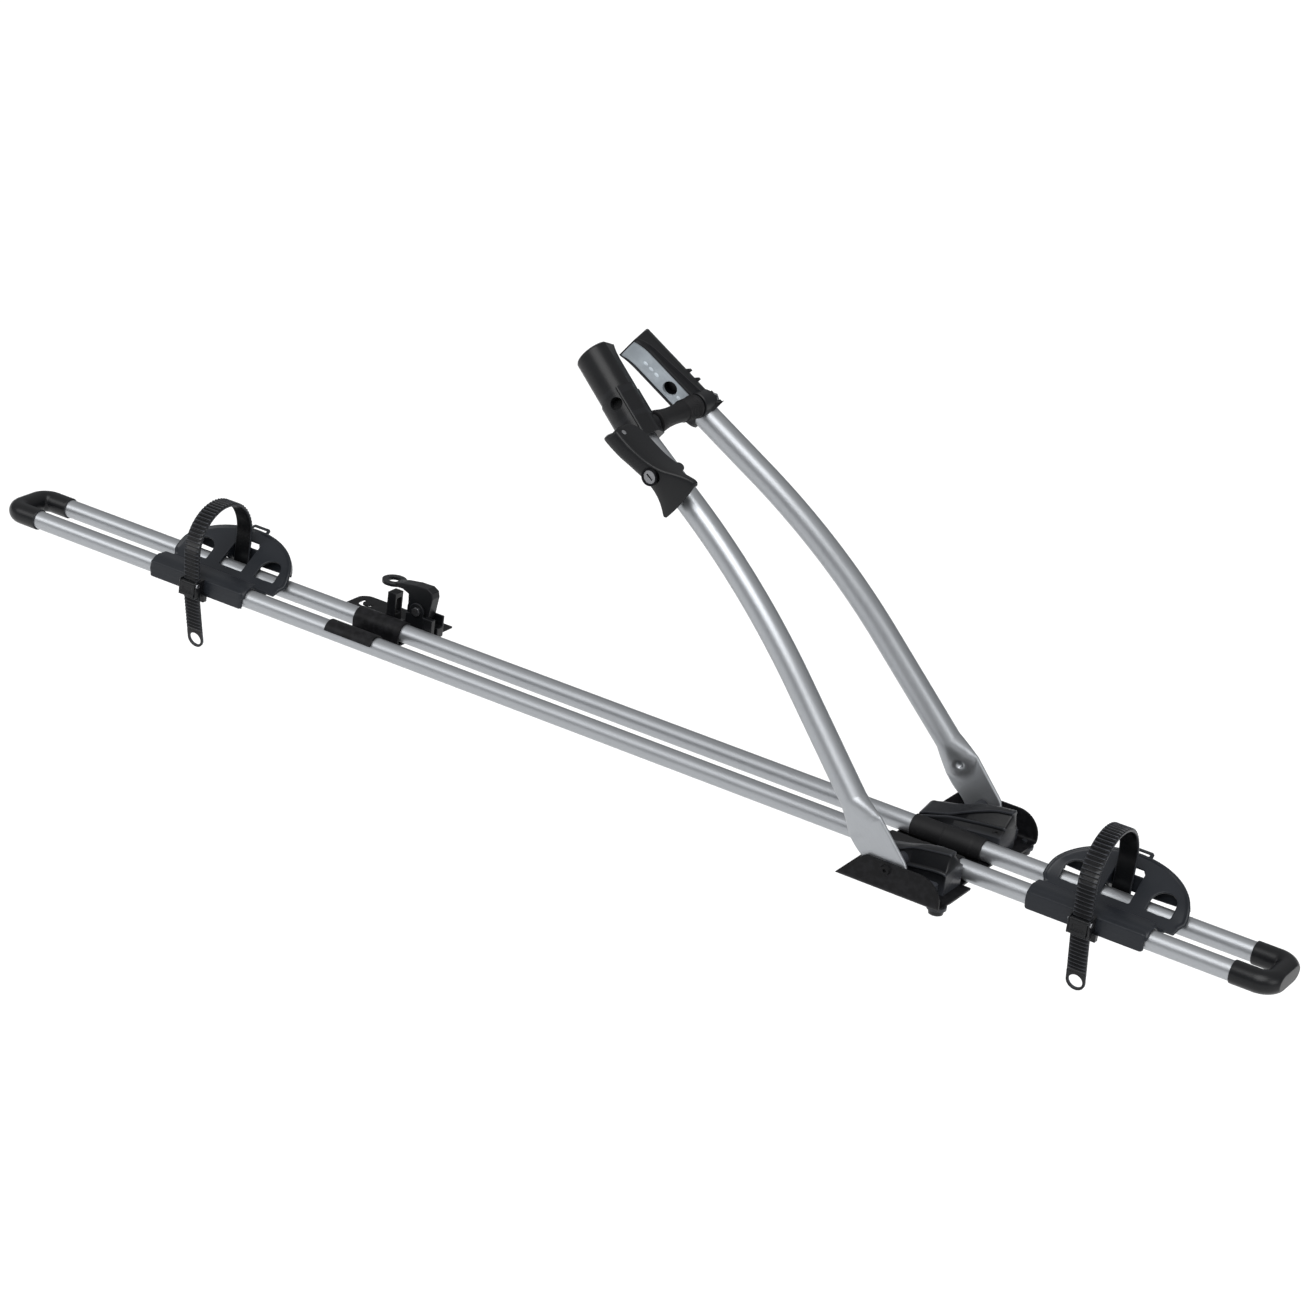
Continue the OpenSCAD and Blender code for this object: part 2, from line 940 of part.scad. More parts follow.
// rubber sleeve on the rod: smooth taper at the right claw, ribs and collar at the left
module rod_sleeve() {
  l = 2 * (boss_in - 2.3);
  ribs = 6;
  rib_l = 17;
  rib_start = l - rib_l - 5;
  color(black)
    rod_place(-l / 2)
      rotate_extrude()
        difference() {
          union() {
            polygon([[0, 0], [11.8, 0], [11.4, 6], [9.4, l * 0.3], [9, l * 0.42], [10, rib_start],
              [10, l], [0, l]]);
            for (i = [0 : ribs - 1]) {
              translate([9, rib_start + i * rib_l / ribs])
                square([2, rib_l / ribs * 0.55]);
            }
            translate([9, l - 4])
              square([2.8, 4]);
          }
          translate([-1, -1])
            square([rod_r + seat_gap + 1, l + 2]);
        }
}

// frame of the clamp lever: pin at the origin, tail towards +X, outside towards -Y
module lever_place() {
  translate([rod_x, -lever_y, rod_z])
    rotate([0, top_rise, 0])
      children();
}

// pin and barrel that the lever turns on and the rod pulls at
module lever_pin() {
  barrel_l = lever_w - 2 * lever_wall - 0.4;
  color(silver)
    lever_place()
      difference() {
        union() {
          translate([0, 0, -barrel_l / 2])
            cylinder(d = barrel_d, h = barrel_l);
          translate([0, 0, 0.2 - lever_w / 2])
            cylinder(d = lever_pin_d, h = lever_w - 0.4);
        }
        rotate([-90, 0, 0])
          translate([0, 0, -seat_gap])
            cylinder(r = rod_r + seat_gap, h = barrel_d);
      }
}

// plan of the lever: narrow head and flared tail, less an inset w
module lever_plan(w) {
  a = lever_w / 2 - w;
  b = tail_w / 2 - w;
  polygon([[-barrel_d, -a], [lever_l * 0.3, -a], [lever_l * 0.5, -a - 1], [lever_l * 0.66, -a - 2.6],
    [lever_l * 0.79, -a * 0.62 - b * 0.38], [lever_l * 0.9, -a * 0.3 - b * 0.7], [lever_l - w, -b],
    [lever_l - w - 3, 0], [lever_l - w, b], [lever_l * 0.88, a * 0.2 + b * 0.8],
    [lever_l * 0.75, a * 0.5 + b * 0.5], [lever_l * 0.62, a + 3.2], [lever_l * 0.48, a + 1.2],
    [lever_l * 0.3, a], [-barrel_d, a]]);
}

// back line of the lever from head to tail, moved in by w
function lever_back(w) = [[-barrel_d * 0.5, w - 7], [-barrel_d * 0.3, w - lever_back_y], [12, w - lever_back_y],
  [lock_x, w - lever_back_y + 6], [lever_l * 0.8, w + 2], [lever_l, w + 4.5]];

// depth outline of the lever: deep side walls at the head, thin tail
module lever_depth() {
  deep = cam_y + 8;
  polygon(concat(lever_back(0), [[lever_l, 8.5], [lever_l * 0.86, 8.2], [lever_l * 0.76, 13],
    [lever_l * 0.7, deep], [12, deep], [-2, deep - 4], [-barrel_d * 0.45, deep - 10]]));
}

// lever shell that hooks over the right arm tube
module clamp_lever() {
  slot = rod_r + 0.5;
  half = lever_w / 2;
  inner = half - lever_wall;
  cavity_x = barrel_d / 2 + lever_wall;
  color(black)
    lever_place()
      difference() {
        union() {
          intersection() {
            translate([0, 0, -tail_w])
              linear_extrude(height = 2 * tail_w)
                lever_depth();
            xz(8 * lever_w)
              lever_plan(0);
          }
          translate([lever_l * 0.62, cam_y + 4, half - lever_wall])
            cube([7, 18, lever_wall]);
          translate([lever_l * 0.62 + 3.5, cam_y + 22, half - lever_wall])
            cylinder(r = 3.5, h = lever_wall);
        }
        intersection() {
          translate([0, 0, -tail_w])
            linear_extrude(height = 2 * tail_w)
              polygon(concat(lever_back(lever_wall), [[lever_l, 60], [-barrel_d, 60]]));
          xz(8 * lever_w, 0)
            lever_plan(lever_wall);
          translate([cavity_x, -2 * lever_w, -tail_w])
            cube([lever_l - cavity_x - 2, 8 * lever_w, 2 * tail_w]);
        }
        translate([-2 * barrel_d, cam_y, -tail_w])
          cube([4 * lever_l, 60, tail_w + 1]);
        translate([-2 * barrel_d, cam_y - 3, -inner])
          cube([4 * lever_l, 60, 2 * inner]);
        translate([0, 0, -lever_w])
          cylinder(d = lever_pin_d + 2 * pin_gap, h = 2 * lever_w);
        translate([0, 0, -inner])
          cylinder(d = barrel_d + 0.8, h = 2 * inner);
        translate([-2 * barrel_d, -slot, -slot])
          cube([2 * barrel_d + slot, 60, 2 * slot]);
        lock_place()
          translate([0, 0, -12])
            cylinder(d = lock_d + 4, h = 30);
      }
}

// frame of the lock in the lever's back, +Z outwards
module lock_place() {
  translate([lock_x, 6.5 - lever_back_y, 0])
    rotate([90, 0, 0])
      children();
}

// metal barrel pressed into the lever
module lock_housing() {
  color(silver)
    lever_place()
      lock_place()
        difference() {
          translate([0, 0, -9])
            cylinder(d = lock_d + 4 - 2 * seat_gap, h = 12);
          translate([0, 0, -7.5])
            cylinder(d = lock_d + 2 * pin_gap, h = 12);
        }
}

// turning key plug
module lock_cylinder() {
  color(silver)
    lever_place()
      lock_place()
        difference() {
          translate([0, 0, -7.2])
            cylinder(d = lock_d, h = 9.4);
          translate([-lock_d * 0.3, -0.9, 0])
            cube([lock_d * 0.6, 1.8, 4]);
        }
}

// sloped plane of the tray cheek: +X along the rail, +Y up the slope, +Z out of its face
module cheek_place() {
  translate([0, cheek_base, cheek_foot_z])
    rotate([cheek_slope, 0, 0])
      children();
}

// height of the cheek above its base at x
function cheek_top(x) = cheek_h * sqrt(1 - pow(2 * x / cheek_l, 2));

// half elliptic outline of the cheek, less an inset w
module cheek_outline(w) {
  a = cheek_l / 2;
  intersection() {
    scale([1, (cheek_h - w) / (a - w)])
      circle(r = a - w, $fn = 96);
    translate([-a, 0])
      square([2 * a, 2 * a]);
  }
  polygon([[w - a + 1.5, 1], [a - w - 1.5, 1], [a - w - 6, -cheek_down], [w - a + 6, -cheek_down]]);
}

// the three windows of the cheek
module cheek_windows() {
  r = window_w / 2;
  sill = 0.5;
  for (side = [-1, 1]) {
    translate([side * window_pitch / 2, 0]) {
      translate([-r, sill])
        square([window_w, r - sill]);
      translate([0, r])
        circle(r = r);
    }
  }
  polygon([[-15, sill], [15, sill], [14.5, 35], [11, 39.5], [-11, 39.5], [-14.5, 35]]);
}

// rib under the cheek that rides on the far rail and carries the strap shelf
module cheek_rib(x) {
  reach = cheek_top(x) - 6;
  shelf = min(strap_far + 7, cheek_base + reach * cos(cheek_slope));
  tip = [cheek_base + reach * cos(cheek_slope), cheek_foot_z + reach * sin(cheek_slope)];
  translate([x - tray_wall / 2, 0, 0])
    yz(tray_wall)
      difference() {
        polygon([[floor_y + 2, floor_z], [floor_y + 2, floor_z + 2], [tip[0], tip[1] + 1],
          [tip[0], tip[1] - 3], [shelf, 4], [shelf, -4], [rail_y, -4]]);
        translate([rail_y, 0])
          circle(r = rail_r + slide_gap);
      }
}

// small wire like loop on the edge of the cheek
module cheek_loop() {
  x = 0;
  l = 20;
  h = 5;
  bar = 1.5;
  translate([x - l / 2, cheek_top(x) - 1, (tray_wall - bar) / 2])
    difference() {
      cube([l, h, bar]);
      translate([bar, -1, -1])
        cube([l - 2 * bar, h + 1 - bar, bar + 2]);
    }
}

// sleeve on the near rail, trough between the rails and windowed cheek over the far rail
module wheel_tray(x) {
  inner = rail_r + slide_gap;
  color(slate)
    translate([x, 0, rail_z])
      difference() {
        union() {
          translate([sleeve_start, -rail_y, 0])
            along_x(sleeve_r, tray_sleeve_l);
          translate([sleeve_start, 0, 0])
            yz(tray_sleeve_l)
              polygon([[-rail_y + inner - 1, floor_z], [-rail_y + inner + 1, floor_z + 8],
                [floor_y - 3, floor_z + tray_wall + 1], [floor_y + 2, floor_z + tray_wall + 1],
                [floor_y + 3, floor_z], [floor_y - 2, floor_z - 1.4]]);
          translate([cheek_shift, 0, 0]) {
            cheek_place() {
              linear_extrude(height = tray_wall)
                cheek_outline(0);
              translate([0, 0, tray_wall - 7])
                linear_extrude(height = 7)
                  difference() {
                    cheek_outline(0);
                    cheek_outline(tray_wall);
                    translate([-cheek_l, -2 * cheek_down])
                      square([2 * cheek_l, 2 * cheek_down + 16]);
                  }
              cheek_loop();
            }
            for (side = [-1, 1]) {
              cheek_rib(side * (strap_w / 2 + 8));
              cheek_rib(side * (window_pitch / 2 + window_w / 2 + 4));
            }
          }
          translate([cheek_shift - strap_w / 2 - 9, strap_far - 0.9, -3])
            cube([strap_w + 18, 7.9, 3]);
        }
        translate([-tray_sleeve_l, -rail_y, 0])
          along_x(inner, 2 * tray_sleeve_l);
        translate([-tray_sleeve_l, -rail_y - 3, -2 * sleeve_r])
          cube([2 * tray_sleeve_l, 6, 2 * sleeve_r]);
        translate([sleeve_start + tray_sleeve_l + 8, -rail_y - 2 * sleeve_r, -9])
          along_y(15, 2 * sleeve_r + 2);
        translate([cheek_shift, 0, 0])
          cheek_place()
            translate([0, 0, -1])
              linear_extrude(height = tray_wall + 2)
                cheek_windows();
        translate([strap_shift - strap_w / 2 - 0.6, strap_far - 0.5, -6])
          cube([strap_w + 1.2, strap_t + rib_h + 1.4, 12]);
      }
}

module wheel_tray_front() {
  wheel_tray(front_tray_x);
}

module wheel_tray_rear() {
  wheel_tray(rear_tray_x);
}

// strap path in Y and Z by length s: far leg, loop, near leg, hanging tail that leans in by t
strap_a = [strap_far, -4];
strap_b = [strap_far + strap_lean, strap_rise];
strap_c = [-strap_y + strap_in, strap_rise];
strap_d = [-strap_y, -10];
leg_ab = norm(strap_b - strap_a);
leg_bc = leg_ab + PI * loop_r;
leg_cd = leg_bc + norm(strap_d - strap_c);
function strap_e(t) = [-strap_y + t, -10 - tail_l];
function strap_l(t) = leg_cd + norm(strap_e(t) - strap_d);
function turn(v) = [v[1], -v[0]] / norm(v);
function strap_at(s, t) =
  s < leg_ab ? strap_a + (strap_b - strap_a) * s / leg_ab :
  s < leg_bc ? [loop_y, strap_rise] + loop_r * strap_out(s, t) :
  s < leg_cd ? strap_c + (strap_d - strap_c) * (s - leg_bc) / (leg_cd - leg_bc) :
  strap_d + (strap_e(t) - strap_d) * (s - leg_cd) / (strap_l(t) - leg_cd);
function strap_out(s, t) =
  s < leg_ab ? turn(strap_b - strap_a) :
  s < leg_bc ? [cos((s - leg_ab) / (leg_bc - leg_ab) * 180), sin((s - leg_ab) / (leg_bc - leg_ab) * 180)] :
  s < leg_cd ? turn(strap_d - strap_c) : turn(strap_e(t) - strap_d);
function rib_line(t) = [for (i = [0 : floor((strap_l(t) - 32) / rib_pitch) - 1]) let (s = 12 + i * rib_pitch)
  each [[s, 0], [s + 0.6, rib_h], [s + rib_pitch * 0.6, rib_h], [s + rib_pitch * 0.75, 0]]];
function strap_outer(t) = concat([strap_at(0, t) + strap_t * strap_out(0, t)],
  [for (p = rib_line(t)) strap_at(p[0], t) + (strap_t + p[1]) * strap_out(p[0], t)],
  [strap_at(strap_l(t), t) + strap_t * strap_out(strap_l(t), t)]);
function strap_inner(t) = [for (i = [0 : 60]) strap_at(strap_l(t) * (1 - i / 60), t)];

// ladder strap, one ribbed band round the tyre
module wheel_strap(x, t) {
  r = strap_w / 2;
  end = strap_e(t);
  lean = atan2(t, tail_l);
  color(black)
    translate([x, 0, rail_z])
      difference() {
        union() {
          translate([-r, 0, 0])
            yz(strap_w)
              polygon(concat(strap_outer(t), strap_inner(t)));
          translate([-r, strap_a[0] + strap_t / 2, strap_a[1] - 1.6])
            along_x(2.6, strap_w);
        }
        translate([0, end[0], end[1]])
          rotate([90 + lean, 0, 0])
            translate([0, 0, -10])
              linear_extrude(height = 20)
                difference() {
                  translate([-r - 1, -1])
                    square([strap_w + 2, r + 1]);
                  translate([0, r])
                    circle(r = r);
                }
        translate([0, end[0], end[1]])
          rotate([90 + lean, 0, 0])
            translate([0, r, -10])
              cylinder(r = r - 2.6, h = 20);
      }
}

module wheel_strap_front() {
  wheel_strap(front_tray_x + strap_shift, front_tail);
}

module wheel_strap_rear() {
  wheel_strap(rear_tray_x + strap_shift, rear_tail);
}

// buckle frame on the outer side of the tray sleeve
module strap_buckle(x) {
  back = -rail_y - sleeve_r - seat_gap;
  front = buckle_pin_y - buckle_pin_r - 1;
  h = 18;
  way = strap_w + 2 * buckle_room;
  color(black)
    translate([x, 0, rail_z])
      difference() {
        union() {
          translate([-buckle_w / 2, -strap_y + buckle_room, -h / 2])
            cube([buckle_w, strap_y - buckle_room - rail_y, h]);
          for (side = [-1, 1]) {
            translate([side * (buckle_w - buckle_cheek) / 2 - buckle_cheek / 2, front, -h / 2])
              cube([buckle_cheek, -strap_y + 2 * buckle_room - front, h]);
          }
          translate([buckle_w / 2 - 1, back - 5, -h / 2 - 5])
            cube([5, 6, 8]);
        }
        translate([-buckle_w, -rail_y, 0])
          along_x(sleeve_r + seat_gap, 2 * buckle_w);
        translate([-buckle_w, -rail_y, -h])
          cube([2 * buckle_w, rail_y, 2 * h]);
        translate([-way / 2, 0, 0])
          yz(way)
            polygon([[strap_d[0] + buckle_room, -h], [strap_d[0] + buckle_room, strap_d[1]],
              [strap_c[0] + buckle_room, strap_c[1]], [-2 * strap_y, strap_c[1]], [-2 * strap_y, -h]]);
        translate([-buckle_w, buckle_pin_y, buckle_pin_z])
          along_x(buckle_pin_r + seat_gap, 2 * buckle_w);
      }
}

module strap_buckle_front() {
  strap_buckle(front_tray_x + strap_shift);
}

module strap_buckle_rear() {
  strap_buckle(rear_tray_x + strap_shift);
}

// spring lever that presses its pawl into the strap
module buckle_lever(x) {
  w = strap_w;
  l = 13;
  t = 3;
  color(black)
    translate([x, buckle_pin_y, rail_z + buckle_pin_z])
      difference() {
        union() {
          translate([-w / 2, 0, 0])
            along_x(lever_hub_r, w);
          translate([-w / 2, -lever_hub_r, -l])
            cube([w, t, l]);
          translate([-w / 2, -lever_hub_r - 1.2, -l])
            cube([w, 3, 3.4]);
        }
        translate([-w, 0, 0])
          along_x(buckle_pin_r + pin_gap, 2 * w);
        translate([-w / 2 + 3, -lever_hub_r - 1, -l + 5])
          cube([w - 6, 1.8, l - 8]);
      }
}

module buckle_lever_front() {
  buckle_lever(front_tray_x + strap_shift);
}

module buckle_lever_rear() {
  buckle_lever(rear_tray_x + strap_shift);
}

module buckle_pin(x) {
  color(silver)
    translate([x - buckle_w / 2 - 0.6, buckle_pin_y, rail_z + buckle_pin_z]) {
      along_x(buckle_pin_r, buckle_w + 1.6);
      translate([buckle_w + 0.6 + seat_gap, 0, 0])
        along_x(buckle_pin_r + 1.1, 1.2);
    }
}

module buckle_pin_front() {
  buckle_pin(front_tray_x + strap_shift);
}

module buckle_pin_rear() {
  buckle_pin(rear_tray_x + strap_shift);
}

// base plate of the rear foot on the rear roof bar
module rear_plate() {
  r = 12;
  y0 = 3 - rail_y;
  y1 = 98;
  x0 = -rear_plate_l * 0.667;
  x1 = rear_plate_l + x0;
  color(steel)
    translate([rear_foot_x, 0, 0])
      linear_extrude(height = rear_plate_t)
        difference() {
          union() {
            translate([-saddle_l / 2, y0])
              square([saddle_l, y1 - y0 - r]);
            translate([x0 + r, rail_y + rail_r + 4])
              square([rear_plate_l - r - 5, y1 - rail_y - rail_r - 4]);
            translate([x0 + r, y1 - r])
              circle(r = r);
            translate([x0, rail_y + rail_r + 4])
              square([r, y1 - rail_y - rail_r - r - 4]);
            translate([x1 - 5, rail_y + rail_r + 24])
              square([5, y1 - rail_y - rail_r - 24]);
          }
          translate([x0 + 17, y1 - 18])
            difference() {
              circle(r = 9);
              circle(r = 4.5);
              translate([-12, 0])
                square([24, 12]);
            }
          translate([x0 + 8, y1 - 19])
            square([4.5, 8]);
          translate([x1 - 12, y1 - 16])
            square([7, 9]);
          for (end = [-1, 1]) {
            translate([end * rear_hole_pitch / 2, 0])
              circle(d = rear_hole_d);
          }
        }
}

// pressed saddle: over the far rail, down to the plate, up and over the near rail
module rear_saddle() {
  ri = rail_r + slide_gap;
  ro = ri + saddle_t;
  foot = rear_plate_t + seat_gap;
  color(steel)
    difference() {
      translate([rear_foot_x - saddle_l / 2, 0, 0])
        yz(saddle_l)
          difference() {
            union() {
              for (side = [-1, 1]) {
                translate([side * rail_y, rail_z])
                  circle(r = ro);
              }
              translate([ri - rail_y, foot])
                square([2 * (rail_y - ri), rail_z - foot]);
              translate([rail_y, foot])
                square([ro + 10, rail_z - foot]);
            }
            for (side = [-1, 1]) {
              translate([side * rail_y, rail_z])
                circle(r = ri);
              translate([side * rail_y - ri, -rail_z])
                square([2 * ri, 2 * rail_z]);
            }
            translate([-2 * rail_pitch, -rail_z])
              square([2 * rail_pitch - rail_y - ri + 1, 2 * rail_z + 3]);
            translate([ro - rail_y, foot + saddle_t])
              square([2 * (rail_y - ro), rail_z]);
            translate([rail_y + ro, foot + saddle_t])
              square([20, rail_z]);
          }
      for (end = [-1, 1]) {
        translate([rear_foot_x + end * rear_hole_pitch / 2, 0, 0])
          cylinder(d = rear_hole_d, h = rail_z);
      }
    }
}

// yoke on the plate that carries the rear lever
module rear_yoke() {
  ear = 2.4;
  gap = rear_lever_t / 2 + 0.4;
  y = rear_pivot[1];
  x = rear_pivot[0];
  w = 26;
  color(black)
    difference() {
      union() {
        for (side = [-1, 1]) {
          xz(ear, y + side * (gap + ear / 2)) {
            translate([x, rear_pivot_h])
              circle(r = 9);
            translate([x - w / 2, rear_plate_t + seat_gap])
              square([w, rear_pivot_h - rear_plate_t - 4]);
          }
        }
        translate([x - w / 2, y - gap - ear, rear_plate_t + seat_gap])
          cube([w, 2 * (gap + ear), 3]);
        translate([x + w / 2 - 1, y - gap - ear - 4, rear_plate_t + seat_gap])
          difference() {
            cube([11, 2 * (gap + ear) + 4, rear_pivot_h - 4]);
            translate([5, 6, 4])
              cube([12, 6, rear_pivot_h]);
          }
      }
      translate([x, y - 40, rear_pivot_h])
        along_y(rear_pin_d / 2 + seat_gap, 80);
      translate([x, y - gap, rear_pivot_h])
        along_y(17, 2 * gap);
      translate([x + 8, y - gap, rear_pivot_h - 14])
        cube([30, 2 * gap, 30]);
    }
}

// cam lever with a finger ring
module rear_lever() {
  ring = [-39, 3, 19];
  color(black)
    translate(rear_pivot)
      difference() {
        union() {
          xz(rear_lever_t) {
            circle(r = 14);
            polygon([[-13, 3], [14, 0], [16.5, 18], [15, 24], [9, 27.5], [-6, 27], [-22, 24.5], [-33, 21.5],
              [-33, 17.5], [-22, 18], [-14, 15]]);
          }
          translate(ring)
            translate([0, 0, -2])
              cylinder(r = 13, h = 4);
        }
        translate([0, -rear_lever_t, 0])
          along_y(rear_pin_d / 2 + pin_gap, 2 * rear_lever_t);
        translate(ring)
          translate([0, 0, -4])
            cylinder(r = 6.5, h = 8);
      }
}

module rear_pin() {
  gap = rear_lever_t / 2 + 0.4 + 2.4;
  color(silver)
    translate([rear_pivot[0], rear_pivot[1] - gap - 0.8, rear_pivot[2]]) {
      along_y(rear_pin_d / 2, 2 * gap + 1.6);
      translate([0, -1, 0])
        along_y(rear_pin_d / 2 + 1.6, 1.7);
      translate([0, 2 * gap + 0.9, 0])
        along_y(rear_pin_d / 2 + 1.6, 1.7);
    }
}

// tension hook of the bar clamp beside the lever
module rear_hook() {
  x = rear_pivot[0] - 34;
  y = rear_pivot[1];
  color(black)
    translate([x, y, rear_plate_t + seat_gap])
      difference() {
        union() {
          translate([-9, -9, 0])
            cube([18, 18, 3]);
          translate([-5, -7, 0])
            cube([10, 14, 31]);
        }
        translate([-6, -4, 12])
          cube([12, 8, 14]);
      }
}

rail_right();
rail_left();
end_cap_front();
end_cap_rear();
front_bracket();
rail_sleeve_right();
rail_sleeve_left();
clamp_block_right();
clamp_block_left();
block_screw_right();
block_screw_left();
pivot_bolt_right();
pivot_bolt_left();
pivot_washer_right();
pivot_washer_left();
bar_nut_right();
bar_nut_left();
arm_right();
arm_left();
claw_right();
claw_left();
claw_pad_right();
claw_pad_left();
draw_rod();
rod_sleeve();
lever_pin();
clamp_lever();
lock_housing();
lock_cylinder();
wheel_tray_front();
wheel_strap_front();
strap_buckle_front();
buckle_lever_front();
buckle_pin_front();
wheel_tray_rear();
wheel_strap_rear();
strap_buckle_rear();
buckle_lever_rear();
buckle_pin_rear();
rear_plate();
rear_saddle();
rear_yoke();
rear_lever();
rear_pin();
rear_hook();
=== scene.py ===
import json
import math

import bmesh
import bpy
from bpy.props import FloatProperty, FloatVectorProperty, PointerProperty
from mathutils import Matrix, Vector


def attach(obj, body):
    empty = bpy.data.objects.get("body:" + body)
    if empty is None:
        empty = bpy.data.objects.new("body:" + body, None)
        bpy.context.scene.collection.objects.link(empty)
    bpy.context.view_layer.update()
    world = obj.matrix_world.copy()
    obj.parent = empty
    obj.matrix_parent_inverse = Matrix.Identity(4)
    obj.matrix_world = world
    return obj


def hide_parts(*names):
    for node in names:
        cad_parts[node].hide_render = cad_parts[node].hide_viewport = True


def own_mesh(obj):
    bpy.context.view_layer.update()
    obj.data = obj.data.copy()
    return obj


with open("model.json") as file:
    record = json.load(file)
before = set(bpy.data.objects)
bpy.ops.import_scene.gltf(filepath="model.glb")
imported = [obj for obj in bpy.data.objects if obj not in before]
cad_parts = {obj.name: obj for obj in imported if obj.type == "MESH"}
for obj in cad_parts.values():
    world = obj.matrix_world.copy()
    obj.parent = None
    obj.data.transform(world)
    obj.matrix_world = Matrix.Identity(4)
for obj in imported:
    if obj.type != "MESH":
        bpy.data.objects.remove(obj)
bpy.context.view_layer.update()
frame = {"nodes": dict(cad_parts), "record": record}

bl_info = {
    "name": "Roof bike carrier dressing",
    "version": (1, 0, 0),
    "blender": (4, 5, 0),
    "location": "View3D > Sidebar > Carrier",
    "description": "Dresses the packed solids of a roof mounted bike carrier with finishes and soft pieces",
    "category": "Object",
}

RECORD = frame["record"]
BODY_OF = {node: body for body, nodes in RECORD["behaviour"]["bodies"].items() for node in nodes}
SLOT_OF = {part["node"]: part["material_slot"] for part in RECORD["subparts"]}
MM = 0.001

# sizes shared with the part's source, in millimetres
RAIL_Z = 12.0
ARM_RISE = 33.1
CLAW_RISE = 37.0
CLAW_TOE = 11.3
HEAD = Vector((-333.624, 55.454, 328.213))
ROD = Vector((-339.99, 0.0, 343.027))
LEVER_PIN = Vector((-339.99, -95.454, 343.027))
TRAYS = {"front": (173.5, 12.0), "rear": (-861.0, 14.0)}
STRAP_SHIFT = 1.4
ARM_R = 12.8
ARM_TOE = 7.4
FOOT = {"y": 95.0, "z": 22.8, "rise": 48.3, "length": 43.8, "half": 19.0, "rear_more": 2.5, "thick": 4.4}
ARM_RUN = {"low_rise": 47.6, "low": 144.4, "bend_r": 773.0, "top_rise": 33.1, "top": 96.0}
SLEEVE_HALF = 35.654

# a tray's sloped cheek: its middle past the tray's place, half length, height, foot and slope
CHEEK_PAST, CHEEK_HALF, CHEEK_HIGH = 5.5, 73.0, 55.0
CHEEK_Y, CHEEK_Z = 13.4, RAIL_Z + 5.225
CHEEK_SLOPE = math.radians(33.0)

# a claw's length from its tip to its foot, with the start of its housing and the ends of its pad
CLAW_TIP, CLAW_HOUSING, PAD_TIP, PAD_FOOT = -100.0, -57.0, -98.7, -26.0
PAD_HOLE = Vector((-46.0, -20.0, 0.0))


class CarrierFinishes(bpy.types.PropertyGroup):
    """Colours of the carrier's finishes."""

    tube: FloatVectorProperty(name="Tube", description="Satin aluminium of rails and arms", subtype="COLOR",
                              default=(0.33, 0.342, 0.358), min=0, max=1)
    plastic: FloatVectorProperty(name="Black plastic", description="Moulded black plastic", subtype="COLOR",
                                 default=(0.0042, 0.0045, 0.0053), min=0, max=1)
    slate: FloatVectorProperty(name="Slate plastic", description="Moulded plastic of the wheel trays",
                               subtype="COLOR", default=(0.0100, 0.0117, 0.0150), min=0, max=1)
    steel: FloatVectorProperty(name="Black steel", description="Powder coat of the pressed steel",
                               subtype="COLOR", default=(0.0032, 0.0032, 0.0037), min=0, max=1)
    rubber: FloatVectorProperty(name="Black rubber", description="Rubber of the sleeves", subtype="COLOR",
                                default=(0.005, 0.005, 0.0057), min=0, max=1)
    pad: FloatVectorProperty(name="Pad", description="Grey rubber of the claw pads", subtype="COLOR",
                             default=(0.27, 0.30, 0.325), min=0, max=1)
    bright: FloatVectorProperty(name="Bright steel", description="Bare steel of pins and lock",
                                subtype="COLOR", default=(0.34, 0.345, 0.36), min=0, max=1)


class CarrierStrap(bpy.types.PropertyGroup):
    """Sizes of the ladder straps."""

    width: FloatProperty(name="Width", description="Strap width",
                         default=19.6 * MM, unit="LENGTH")
    thick: FloatProperty(name="Thickness", description="Thickness under the ribs",
                         default=2.4 * MM, unit="LENGTH")
    rib: FloatProperty(name="Rib height", description="Height of the ribs",
                       default=1.5 * MM, unit="LENGTH")
    pitch: FloatProperty(name="Rib pitch", description="Spacing of the ribs",
                         default=4.2 * MM, unit="LENGTH")


class CarrierStage(bpy.types.PropertyGroup):
    """Floor, light and camera."""

    floor_z: FloatProperty(name="Floor height", description="Height of the floor",
                           default=-0.55, unit="LENGTH")
    floor: FloatVectorProperty(name="Floor colour", description="Pale floor", subtype="COLOR",
                               default=(0.94, 0.94, 0.94), min=0, max=1)
    world: FloatProperty(name="Room light", description="Strength of the even light", default=0.42, min=0)
    key: FloatProperty(name="Key light", description="Strength of the overhead light", default=2.55, min=0)
    fill: FloatProperty(name="Fill light", description="Power of the side lamps", default=14.0, min=0)
    lens: FloatProperty(name="Lens", description="Focal length in millimetres", default=98.62, min=1)


class Socket:
    """A shader output that takes part in arithmetic: each operation adds a Math node."""

    def __init__(self, finish, socket):
        self.finish = finish
        self.socket = socket

    def _math(self, operation, a, b):
        return self.finish.node("ShaderNodeMath", {"operation": operation}, {0: a, 1: b})

    def __add__(self, other):
        return self._math("ADD", self, other)

    def __radd__(self, other):
        return self._math("ADD", other, self)

    def __sub__(self, other):
        return self._math("SUBTRACT", self, other)

    def __rsub__(self, other):
        return self._math("SUBTRACT", other, self)

    def __mul__(self, other):
        return self._math("MULTIPLY", self, other)

    def __rmul__(self, other):
        return self._math("MULTIPLY", other, self)


